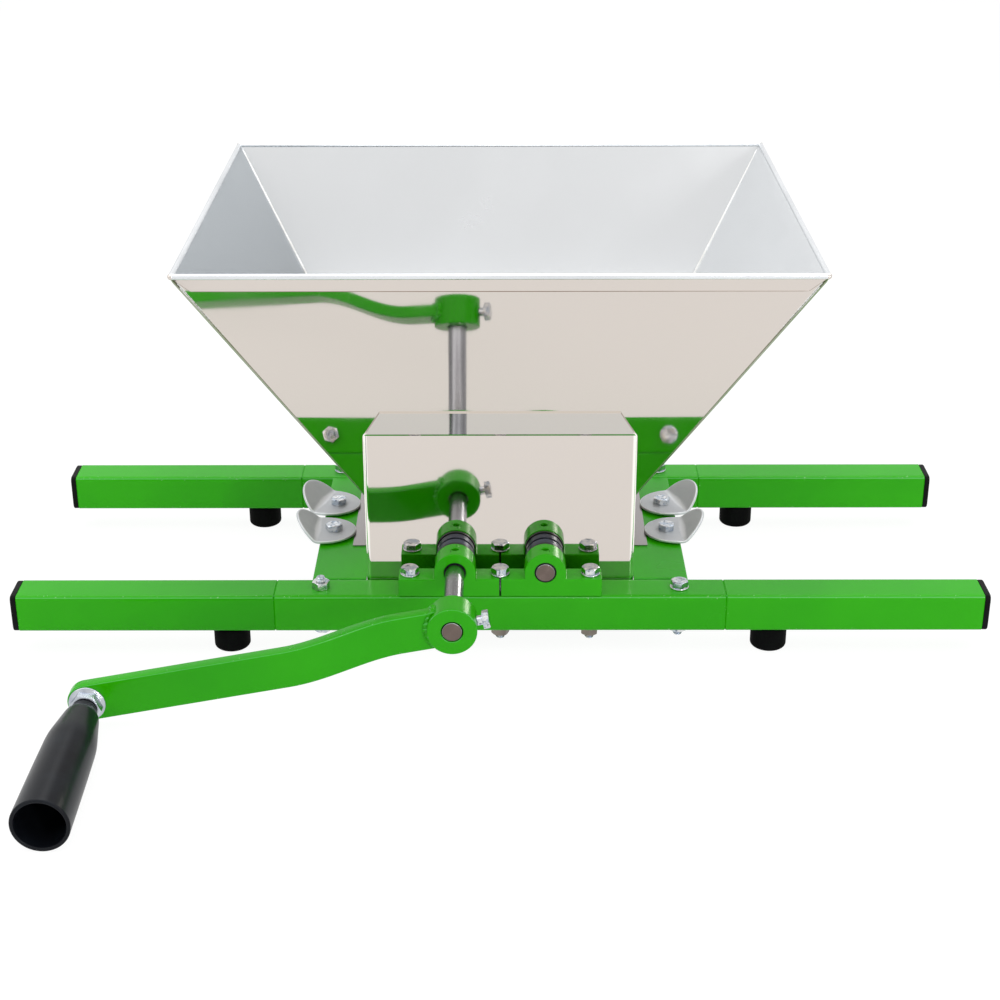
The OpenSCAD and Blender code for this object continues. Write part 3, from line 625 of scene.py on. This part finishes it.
for rail, y, seed in (("front", frameLayout["frontY"], 3.0), ("rear", frameLayout["rearY"], 7.0)):
    middle = (y, frameLayout["height"])
    railTube = tube(-frameLayout["seam"], frameLayout["seam"], middle, tubeLook)
    addPiece(rail + "RailTube", railTube, paint, rail + "_rail")
    for side, sign in (("left", -1), ("right", 1)):
        node = "leg_" + rail + "_" + side
        ends = sorted([sign * frameLayout["seam"], sign * frameLayout["legEnd"]])
        spigot = sorted([sign * frameLayout["spigotFrom"], sign * frameLayout["spigotTo"]])
        leg = joined([tube(*ends, middle, tubeLook), tube(*spigot, middle, spigotLook)])
        addPiece(rail + side.title() + "Leg", leg, greenPaint(node + "Paint", seed + sign), node)

capLook = {"side": tubeLook["side"], "corner": 3.3 * mm, "edge": 1.2 * mm, "innerEdge": 0.15 * mm, "lap": 0.2 * mm}
# (radius, height) of a foot with its screw hole, and how far each corner is rounded
footLook = {"profile": np.array([(2.02, 16), (10.5, 16), (11.5, 14.5), (11.5, 1.5), (10, 0), (4.4, 0), (4.4, 4.6),
                                 (2.02, 4.6)]) * mm,
            "reach": np.array([0.2, 0.5, 1.2, 1.4, 1.2, 0.6, 0.3, 0.2]) * mm}


def capPlate(low, high, middle):
    # Square plate across x whose outline shrinks by edge * (1 - sqrt(1 - t^2)) towards its outer face
    side, edge, innerEdge = capLook["side"], capLook["edge"], capLook["innerEdge"]
    t = np.linspace(0, 1, 6)
    depth = abs(high - low)
    along = np.concatenate([[0, 0, innerEdge], depth - edge * (1 - t), [depth]]) * np.sign(high - low) + low
    shrink = np.concatenate([[side / 2, innerEdge, 0], edge * (1 - np.sqrt(1 - t * t)), [side / 2]])
    rows = (1 - 2 * shrink / side)[:, None, None] * squareOutline(side, capLook["corner"])
    return grid(stacked(along, rows) + [0, *middle], False, True)


caps, feet = [], []
for y in (frameLayout["frontY"], frameLayout["rearY"]):
    for sign in (-1, 1):
        middle = (y, frameLayout["height"])
        caps.append(capPlate(sign * frameLayout["legEnd"], sign * frameLayout["capEnd"], middle))
        plug = sorted([sign * frameLayout["capPlug"], sign * (frameLayout["legEnd"] + capLook["lap"])])
        caps.append(tube(*plug, middle, plugLook))
        feet.append(turned(rounded(footLook["profile"], footLook["reach"], 3),
                           np.array([sign * frameLayout["footX"], y, 0]), zAxis))
addPiece("railCaps", joined(caps), capPlastic, "end_caps")
addPiece("rubberFeet", joined(feet), rubber, "feet")

plateLook = {"inner": 86.0 * mm, "outer": 120.5 * mm, "front": 3.1 * mm, "back": 163.06 * mm, "low": 38 * mm,
             "high": 41 * mm, "corner": 0.8 * mm, "edge": 0.6 * mm}


def slab(low, high, corner, edge):
    # Flat plate with an outline (x, y) and soft edges, whose top and bottom faces close at the middle
    inset, fall = softEdge(edge, 4)
    inset, fall = thereAndBack(np.append(2 * edge, inset)), np.append(0, fall)
    outline = rounded(rectangle(*low[:2], *high[:2]), corner, 4, 0.8)
    middle, half = (low[:2] + high[:2]) / 2, (high[:2] - low[:2]) / 2
    rows = middle + (outline - middle) * (1 - inset[:, None, None] / half)
    spine = np.broadcast_to(middle, (1,) + outline.shape)
    flat = np.concatenate([spine, rows, spine])
    height = np.concatenate([[low[2]], low[2] + fall, high[2] - fall[::-1], [high[2]]])
    return grid(np.roll(stacked(height, flat), -1, 2), False, True)


for side, node in ((-1, "side_plate_left"), (1, "side_plate_right")):
    across = sorted([side * plateLook["inner"], side * plateLook["outer"]])
    plate = slab(np.array([across[0], plateLook["front"], plateLook["low"]]),
                 np.array([across[1], plateLook["back"], plateLook["high"]]), plateLook["corner"], plateLook["edge"])
    addPiece("sidePlate" + ("Left" if side < 0 else "Right"), plate, greenPaint(node + "Paint", 20.0 + side), node)
blockEdge = 0.8 * mm
for node in ("block_front_left", "block_front_right", "block_rear_left", "block_rear_right"):
    roundedCopy(node, greenPaint(node + "Paint", len(node) * 1.7, joint=True), blockEdge)
print("frame pieces made")

# Bolts, nuts and washers, placed by the solids they replace
boltLook = {"flats": 10 * mm, "head": 4 * mm, "shank": 2.95 * mm, "thread": 9 * mm, "nut": 5 * mm,
            "washerEdge": 0.3 * mm, "washerGap": 0.05 * mm, "lap": 0.01 * mm, "sharp": 24}
# Radius and length of the plain shoulder that a latch turns on
latchShoulder = (4 * mm, 3.5 * mm)


def boltBody(foot, axis, length, turn, shoulder=None):
    # Hexagon head standing on foot, shank the other way, screw thread over its last part
    plain, shank, lap = length - boltLook["thread"], boltLook["shank"], boltLook["lap"]
    profile = [(0, -plain), (shank, -plain), (shank, lap), (0, lap)]
    if shoulder:
        profile[2:3] = [(shank, -shoulder[1]), (shoulder[0], -shoulder[1]), (shoulder[0], lap)]
    return [hexHead(boltLook["flats"], boltLook["head"], foot, axis, turn), turned(profile, foot, axis, 40),
            threaded(shank, boltLook["thread"], foot - axis * plain, -axis)]


def fasteners(title, nutZinc=zinc, shoulder=None):
    # A bolt stands with its head away from the nut nearest to it
    bolts, nuts, washers = [], [], []
    nutBoxes = solidBoxes(title + "_nuts")
    for low, high in solidBoxes(title + "_bolts"):
        middle = (low + high) / 2
        nutLow, nutHigh = min(nutBoxes, key=lambda pair: np.hypot(*((pair[0] + pair[1]) / 2 - middle)[:2]))
        up = 1 if nutLow[2] < middle[2] else -1
        foot = np.array([*middle[:2], (high[2] if up > 0 else low[2]) - up * boltLook["head"]])
        bolts += boltBody(foot, zAxis * up, high[2] - low[2] - boltLook["head"], chance.uniform(0, 1), shoulder)
        base = np.array([*middle[:2], nutHigh[2] if up > 0 else nutLow[2]])
        nuts.append(hexHead(boltLook["flats"], boltLook["nut"], base, -zAxis * up, chance.uniform(0, 1),
                            boltLook["shank"]))
    inner = (shoulder[0] if shoulder else boltLook["shank"]) + boltLook["washerGap"]
    for low, high in solidBoxes(title + "_washers"):
        ring = ringOf(inner, (high - low)[0] / 2, low[2], high[2], boltLook["washerEdge"])
        washers.append(turned(ring, np.array([*((low + high) / 2)[:2], 0]), zAxis, 64))
    for kind, solids, metal in (("Bolts", bolts, zinc), ("Nuts", nuts, nutZinc)):
        addPiece(title + kind, joined(solids), metal, title + "_" + kind.lower(), boltLook["sharp"])
    addPiece(title + "Washers", joined(washers), washerZinc, title + "_washers")


washerZinc = zincPlate("washerZinc", 9.0)
dullZinc = plainMetal("dullZinc", (0.27, 0.235, 0.20), (0.17, 0.15, 0.13), 0.30, 0.004)
fasteners("block", dullZinc)
fasteners("leg")
fasteners("latch", shoulder=latchShoulder)
print("fasteners made")

# Crank: bent flat bar, hub with a weld round the bar, set screw, flange nut, spindle and grip
crankLook = {"throw": 220 * mm, "rest": 10.661, "height": 24 * mm, "thick": 8 * mm, "jog": 18 * mm,
             "jogFrom": 32 * mm, "jogTo": 100 * mm, "edge": 1.1 * mm, "start": 9 * mm, "spineIn": 4 * mm,
             "hub": 15 * mm, "hubBack": -79.92 * mm, "hubFront": -98.92 * mm, "hubEdge": 0.8 * mm, "bore": 6.6 * mm,
             "bendRows": (24 * mm, 104 * mm, 41), "endRows": (112 * mm, 214 * mm, 9),
             "screwOut": 3.5 * mm, "screwLength": 12.2 * mm}
crankMiddle = (crankLook["hubBack"] + crankLook["hubFront"]) / 2
rest = math.radians(crankLook["rest"])
armWay = np.array([-math.cos(rest), 0, -math.sin(rest)])
armRise = np.array([-math.sin(rest), 0, math.cos(rest)])


def armPath(s):
    # Middle line y(s) = -jog * (1 - cos(pi t)) / 2, with t from 0 to 1 over the jog, and its unit normal
    jog, span = crankLook["jog"], crankLook["jogTo"] - crankLook["jogFrom"]
    t = np.clip((s - crankLook["jogFrom"]) / span, 0, 1)
    slope = -jog * np.pi * np.sin(np.pi * t) / 2 / span
    length = np.sqrt(1 + slope * slope)
    return -jog * (1 - np.cos(np.pi * t)) / 2, -slope / length, 1 / length


def armPoint(s, v, n):
    # Point at s along the bar, v up its face and n out of its face
    y, alongNormal, acrossNormal = armPath(s)
    return (driveAxis + (s + n * alongNormal)[..., None] * armWay + v[..., None] * armRise
            + (crankMiddle + y + n * acrossNormal)[..., None] * yAxis)


def crankBar():
    # Bar with a round end and soft edges: its outline in (s, v), closed along the middle of both faces
    half, thick, edge = crankLook["height"] / 2, crankLook["thick"] / 2, crankLook["edge"]
    straight = np.concatenate([[crankLook["start"]], np.linspace(*crankLook["bendRows"]),
                               np.linspace(*crankLook["endRows"])])
    arc = np.linspace(np.pi / 2, -np.pi / 2, 37)
    s = np.concatenate([straight, crankLook["throw"] + half * np.cos(arc), straight[::-1]])
    v = np.concatenate([np.full(len(straight), half), half * np.sin(arc), np.full(len(straight), -half)])
    inset, fall = softEdge(edge, 5)
    share = 1 - thereAndBack(np.append(2.4 * edge, inset))[:, None] / half
    out = thereAndBack(thick - np.append(0, fall), -1)[:, None]
    beyond = np.maximum(s - crankLook["throw"], 0)
    rowS = s - beyond + share * beyond
    rows = armPoint(rowS, share * v, out)
    spine = np.clip(s, crankLook["start"] + crankLook["spineIn"], crankLook["throw"])
    ends = [armPoint(spine, 0 * s, side * thick) for side in (1, -1)]
    return grid(np.concatenate([ends[:1], rows, ends[1:]]), False, True)


weldLook = {"radius": 2.1 * mm, "ripple": 0.32 * mm, "ripples": 19, "inset": 0.2 * mm, "corner": 2.2 * mm,
            "lift": 0.15 * mm, "topGap": 2.4 * mm}


def weldBead():
    # Tube of radius r + ripple * sin(k u) around the loop where the bar enters the hub; the loop lies
    # on the hub's cylinder, s = sqrt(R^2 - v^2)
    half, thick, hub = crankLook["height"] / 2 - weldLook["inset"], crankLook["thick"] / 2, crankLook["hub"]
    loop = rounded(rectangle(-half, -thick, half, thick), weldLook["corner"], 5)
    lengths = np.linalg.norm(np.roll(loop, -1, 0) - loop, axis=1)
    far = np.concatenate([[0], np.cumsum(lengths)])
    u = np.linspace(0, far[-1], 240, endpoint=False)
    closed = np.concatenate([loop, loop[:1]])
    v, n = (np.interp(u, far, closed[:, k]) for k in (0, 1))
    s = np.sqrt(hub ** 2 - np.minimum(np.abs(v), hub - weldLook["topGap"]) ** 2) + weldLook["lift"]
    wave = 2 * np.pi * weldLook["ripples"] * u / far[-1]
    radius = weldLook["radius"] + weldLook["ripple"] * (np.sin(wave) + 0.6 * np.sin(0.37 * wave + 1))
    centre = armPoint(s, v, n)
    outward = np.stack([v / half, n / thick], -1)
    outward /= np.maximum(np.linalg.norm(outward, axis=1), 0.2)[:, None]
    first = outward[:, :1] * armRise + outward[:, 1:] * yAxis
    around = evenAngles(14)[:, None]
    ring = np.cos(around) * armWay + np.sin(around) * first[:, None]
    return grid(centre[:, None] + radius[:, None, None] * ring, True, True)


hubRing = turned(ringOf(crankLook["bore"], crankLook["hub"], crankLook["hubFront"], crankLook["hubBack"],
                        crankLook["hubEdge"]), driveAxis, yAxis, 96)
armPaint = greenPaint("crankPaint", 12.0)
addPiece("crankBar", joined([crankBar(), hubRing, weldBead()]), armPaint, "crank_arm")
screwFoot = driveAxis + crankMiddle * yAxis - armWay * (crankLook["hub"] + crankLook["screwOut"])
setScrew = boltBody(screwFoot, -armWay, crankLook["screwLength"], 0.35)
addPiece("crankSetScrew", joined(setScrew), zinc, "crank_set_screw", boltLook["sharp"])

# Profiles are (radius, distance along): the grip's has neck, shoulder, swell, rolled rim, hollow and bore,
# with how far each of its corners is rounded
gripLook = {"back": -119.92 * mm, "armFace": -111.42 * mm, "nutFlats": 17 * mm, "nutHeight": 8 * mm,
            "nutBore": 5.05 * mm, "headFlats": 13.6 * mm, "head": 5 * mm,
            "profile": np.array([(5.4, 0), (7.5, 0), (7.7, 3.6), (10.5, 9.5), (14.9, 38), (15.8, 75), (16.5, 117.9),
                                 (14.1, 117.9), (13.7, 58), (12.2, 56), (5.4, 56)]) * mm,
            "reach": np.array([0.3, 0.6, 1.2, 2.2, 6, 10, 1.1, 1.0, 1.2, 1.5, 0.4]) * mm,
            "flange": np.array([(5.05, 0), (11, 0), (11, 0.9), (8.4, 2.3), (5.05, 2.3)]) * mm,
            "flangeEdge": 0.35 * mm,
            "spindle": np.array([(0, 0), (5, 0), (5, 72.6), (4.5, 73), (0, 73)]) * mm}
gripOutline = rounded(gripLook["profile"], gripLook["reach"], 6, 0.4) * [1, -1] + [0, gripLook["back"]]
addPiece("handGrip", turned(gripOutline, gripAxis, yAxis, 96), gripPlastic, "grip", 60)
nutFoot = gripAxis + gripLook["armFace"] * yAxis
flangeNut = joined([turned(rounded(gripLook["flange"], gripLook["flangeEdge"], 3), nutFoot, -yAxis, 80),
                    hexHead(gripLook["nutFlats"], gripLook["nutHeight"], nutFoot, -yAxis, 0.4, gripLook["nutBore"])])
nutMetal = plainMetal("flangeNutZinc", (0.56, 0.59, 0.63), (0.38, 0.41, 0.47), 0.10, 0.002)
addPiece("flangeNut", flangeNut, nutMetal, "grip_nut", boltLook["sharp"])
spindleFoot = gripAxis + (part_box("grip_spindle")[0][1] + gripLook["head"]) * yAxis
spindle = joined([turned(gripLook["spindle"], spindleFoot, yAxis, 48),
                  hexHead(gripLook["headFlats"], gripLook["head"], spindleFoot, -yAxis, 0.2)])
addPiece("gripSpindle", spindle, zinc, "grip_spindle", boltLook["sharp"])
print("crank pieces made")

# Shafts, bushes and collars: rings sit beyond ringFrom along y, and bushes up to frontTo in the front blocks
shaftLook = {"radius": 6 * mm, "endEdge": 0.55 * mm, "bushBore": 6.1 * mm, "bush": 6.78 * mm, "flange": 12.5 * mm,
             "flangeThick": 2.5 * mm, "collar": 12.0 * mm, "collarBore": 6.02 * mm, "collarFrom": -3.1 * mm,
             "collarTo": 3.1 * mm, "collarEdge": 0.5 * mm, "ring": 9 * mm, "ringEdge": 0.3 * mm, "ringFrom": 100 * mm,
             "bushIn": 0.4 * mm, "bushEdge": 0.25 * mm, "frontTo": 50 * mm}
bushes = []
for roller, axis in (("drive", driveAxis), ("driven", drivenAxis)):
    low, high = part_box(roller + "_shaft")
    # Each rounded corner has 6 points: the two outer corners are kept, and the rod is closed on its axis
    corners = rounded(rectangle(0, low[1], shaftLook["radius"], high[1]), shaftLook["endEdge"], 3)
    rod = np.concatenate([[[0, low[1]]], corners[6:-6], [[0, high[1]]]])
    addPiece(roller + "Shaft", turned(rod, axis, yAxis, 96), groundSteel(roller + "ShaftSteel", axis),
             roller + "_shaft")
    node = roller + "_collars"
    rings = [turned(ringOf(shaftLook["collarBore"], shaftLook["collar"], shaftLook["collarFrom"],
                           shaftLook["collarTo"], shaftLook["collarEdge"]), axis, yAxis, 96)]
    for low, high in solidBoxes(node):
        if low[1] > shaftLook["ringFrom"]:
            rings.append(turned(ringOf(shaftLook["collarBore"], shaftLook["ring"], low[1], high[1],
                                       shaftLook["ringEdge"]), axis))
    addPiece(roller + "Collars", joined(rings), collarMetal, node)
    for low, high in solidBoxes("bearing_bushes"):
        if abs((low[0] + high[0]) / 2 - axis[0]) > shaftLook["radius"]:
            continue
        inward = shaftLook["bushIn"]
        start, end = (low[1] + inward, high[1]) if low[1] < shaftLook["frontTo"] else (high[1] - inward, low[1])
        neck = end + (start - end) * shaftLook["flangeThick"] / abs(start - end)
        profile = [(shaftLook["bushBore"], start), (shaftLook["bush"], start), (shaftLook["bush"], neck),
                   (shaftLook["flange"], neck), (shaftLook["flange"], end), (shaftLook["bushBore"], end)]
        bushes.append(turned(rounded(profile, shaftLook["bushEdge"], 2), axis, yAxis, 80))
addPiece("shaftBushes", joined(bushes), bushPlastic, "bearing_bushes")
print("shafts, bushes and collars made")

# Turn latches: an ellipse plate round its bolt, one wing bent up smoothly
latchLook = {"centre": 7.5 * mm, "halfLength": 22.4 * mm, "halfWidth": 19.2 * mm, "hole": 4.25 * mm, "bend": 46,
             "bendAt": 11.4 * mm, "bendHalf": 2.0 * mm, "thick": 2 * mm, "edge": 0.7 * mm, "rearTurn": 18,
             "middleHeight": 43.3 * mm}


def bentStrip(u, n):
    # The line u runs flat, along an arc over the bend, then straight at the bend's angle; n is off its face
    turn, half = math.radians(latchLook["bend"]), latchLook["bendHalf"]
    radius = 2 * half / turn
    start = latchLook["bendAt"] - half
    angle = np.clip((u - start) / radius, 0, turn)
    beyond = np.maximum(u - start - 2 * half, 0)
    along = np.minimum(u, start) + radius * np.sin(angle) + beyond * np.cos(angle)
    rise = radius * (1 - np.cos(angle)) + beyond * np.sin(angle)
    return along - n * np.sin(angle), rise + n * np.cos(angle)


def latchPlate(node, side, turn):
    # Points between the hole's circle c and the ellipse e, c + (e - c) * share, and a soft edge on its rim
    pivot = jointPlace[node + "_turn"]
    a = evenAngles(120)
    e = np.stack([latchLook["centre"] + latchLook["halfLength"] * np.cos(a), latchLook["halfWidth"] * np.sin(a)], -1)
    c = latchLook["hole"] * e / np.linalg.norm(e, axis=1)[:, None]
    reach = np.linalg.norm(e - c, axis=1)[None, :]
    share = np.array([0, 0.04, 0.15, 0.26, 0.37, 0.48, 0.59, 0.70, 0.80, 0.89, 0.95])
    inset, fall = softEdge(latchLook["edge"], 5)
    rim = 1 - inset[:, None] / reach
    rows = thereAndBack(np.concatenate([share[:, None] * rim[:1], rim]))
    out = thereAndBack(latchLook["thick"] / 2 - np.append(np.zeros(len(share)), fall), -1)
    flat = c[None] + (e - c)[None] * rows[:, :, None]
    along, rise = bentStrip(flat[:, :, 0], out[:, None])
    points = np.stack([side * along, flat[:, :, 1], rise], -1)
    spin = math.radians(turn) * side
    spun = points @ np.array([[math.cos(spin), math.sin(spin), 0], [-math.sin(spin), math.cos(spin), 0], [0, 0, 1]])
    return grid(spun + np.array([pivot[0], pivot[1], latchLook["middleHeight"]]), True, True)


for number, place in enumerate(("front_left", "front_right", "rear_left", "rear_right")):
    side = -1 if place.endswith("left") else 1
    turn = latchLook["rearTurn"] if place.startswith("rear") else 0
    node = "latch_" + place
    addPiece("latch" + place.title().replace("_", ""), latchPlate(node, side, turn),
             latchZinc(node + "Zinc", 3.0 * number), node)
print("latches made")

# Trim of the hopper: rounded rim, weld beads in its inside corners, hem lines in painted shade and outer seams
hopperLook = {"mouthX": 184 * mm, "frontY": -65.92 * mm, "backY": 236.08 * mm, "rim": 265.5 * mm, "throatX": 65 * mm,
              "throatFront": 61.08 * mm, "throatBack": 158.08 * mm, "foot": 41 * mm, "bead": 1.68 * mm,
              "rimCorner": 0.9 * mm, "inside": 1.2 * mm, "weld": (0.8 * mm, 0.8 * mm, 0.8 * mm, 1.0 * mm),
              "weldWave": 2.6 * mm, "weldFrom": 2 * mm, "weldTo": 1 * mm}


def hopperCorners(inset=0.0):
    # Corners of the mouth and of the throat, drawn in by inset
    look = hopperLook
    return (rectangle(inset - look["mouthX"], look["frontY"] + inset, look["mouthX"] - inset, look["backY"] - inset),
            rectangle(inset - look["throatX"], look["throatFront"] + inset, look["throatX"] - inset,
                      look["throatBack"] - inset))


def rimBead():
    # Round wire along the mouth's rounded outline
    bead = hopperLook["bead"]
    path = rounded(hopperCorners()[0], hopperLook["rimCorner"], 4)
    ahead = np.roll(path, -1, 0) - np.roll(path, 1, 0)
    ahead /= np.linalg.norm(ahead, axis=1)[:, None]
    side = np.stack([ahead[:, 1], -ahead[:, 0]], -1)
    a = evenAngles(20)
    flat = path[:, None] + bead * np.cos(a)[:, None] * side[:, None]
    height = np.broadcast_to(hopperLook["rim"] + bead * np.sin(a), flat.shape[:2])
    return grid(np.concatenate([flat, height[:, :, None]], 2), True, True)


def rodAlong(start, end, share, radius, steps):
    # Round rod with a radius for each share of the way from start to end
    start, way = np.array(start), np.array(end) - start
    ring = ringAround(way / np.linalg.norm(way), steps)
    return grid(start + way * share[:, None, None] + radius[:, None, None] * ring, False, True)


def cornerWelds():
    # Beads of radius * (1 + 0.16 sin(k s) + 0.08 sin(2.7 k s)) up the inside corners, with s from 0 to 1
    look, beads = hopperLook, []
    s = np.linspace(0, 1, 260)
    taper = np.clip(np.minimum(s, 1 - s) * 60, 0, 1)
    for mouth, throat, radius in zip(*hopperCorners(look["inside"]), look["weld"]):
        low = np.array([*throat, look["foot"] + look["weldFrom"]])
        high = np.array([*mouth, look["rim"] - look["weldTo"]])
        k = 2 * np.pi * np.linalg.norm(high - low) / look["weldWave"]
        wave = 1 + 0.16 * np.sin(k * s) + 0.08 * np.sin(2.7 * k * s)
        beads.append(rodAlong(low, high, s, radius * wave * taper, 12))
    return joined(beads)


def plainRod(start, end, radius, steps=10):
    # Thin rod of radius r * sqrt(1 - (2 s - 1)^40), with s from 0 to 1
    s = np.array([0, 0.0005, 0.002, 0.01, 0.5, 0.99, 0.998, 0.9995, 1])
    return rodAlong(start, end, s, radius * np.sqrt(np.maximum(0, 1 - np.abs(2 * s - 1) ** 40)), steps)


hemLook = {"height": 10 * mm, "stand": 1.9 * mm, "radius": 0.32 * mm, "mitreShare": 0.8, "seam": 0.7 * mm,
           "seamIn": 1.5 * mm}


def hemShadeLines():
    # The lower edge of the folded hem on each wall, drawn as a thin brown rod whose dark colour is painted shade, with
    # a mitre up to the corner at both ends
    rim, height, rods = hopperLook["rim"], hemLook["height"], []
    rise = rim - hopperLook["foot"]
    mouth, throat = hopperCorners()
    for a, b, low in zip(mouth, np.roll(mouth, -1, 0), throat):
        along = (b - a) / np.linalg.norm(b - a)
        outward = np.array([along[1], -along[0]])
        run = abs(np.dot(a - low, outward))
        slant = math.hypot(run, rise)
        down = np.array([*(-outward * run / slant), -rise / slant])
        out = np.array([*(outward * rise / slant), -run / slant])
        shift = down * height + out * hemLook["stand"]
        first, last = np.array([*(a + along * height), rim]) + shift, np.array([*(b - along * height), rim]) + shift
        start, end = (np.array([*corner, rim]) + out * hemLook["seam"] for corner in (a, b))
        mitre = hemLook["radius"] * hemLook["mitreShare"]
        rods += [plainRod(first, last, hemLook["radius"]), plainRod(start, first, mitre), plainRod(last, end, mitre)]
    return joined(rods)


def outerSeams():
    # A rod down each outside corner
    low, high = hopperLook["foot"] + hemLook["seamIn"], hopperLook["rim"] - hemLook["seamIn"]
    return joined([plainRod((*throat, low), (*mouth, high), hemLook["seam"], 14)
                   for mouth, throat in zip(*hopperCorners())])


# Painted shade: the hem lines are dark brown rods
hemShadeMetal = plainMetal("hemEdge", (0.30, 0.22, 0.17), (0.20, 0.14, 0.10), 0.30, 0.01)
seamMetal = plainMetal("seamSteel", (0.42, 0.44, 0.36), (0.26, 0.34, 0.20), 0.10, 0.012)
weldMetal = plainMetal("weldSteel", (0.86, 0.86, 0.86), (0.70, 0.69, 0.67), 0.22, 0.003)
for name, surface, metal in (("hopperRim", rimBead(), rimMetal), ("hopperWelds", cornerWelds(), weldMetal),
                             ("hopperHems", hemShadeLines(), hemShadeMetal), ("hopperSeams", outerSeams(), seamMetal)):
    addPiece(name, surface, metal, "hopper", trim=True)

# Gears and drums keep their solids, with rounded edges
for node, width in (("drive_gear", 0.3), ("driven_gear", 0.3), ("drive_drum", 0.6), ("driven_drum", 0.6)):
    roundedCopy(node, finishOf[slotOf[node]], width * mm, angle=35, segments=2)
print("hopper rim, welds and rollers made")
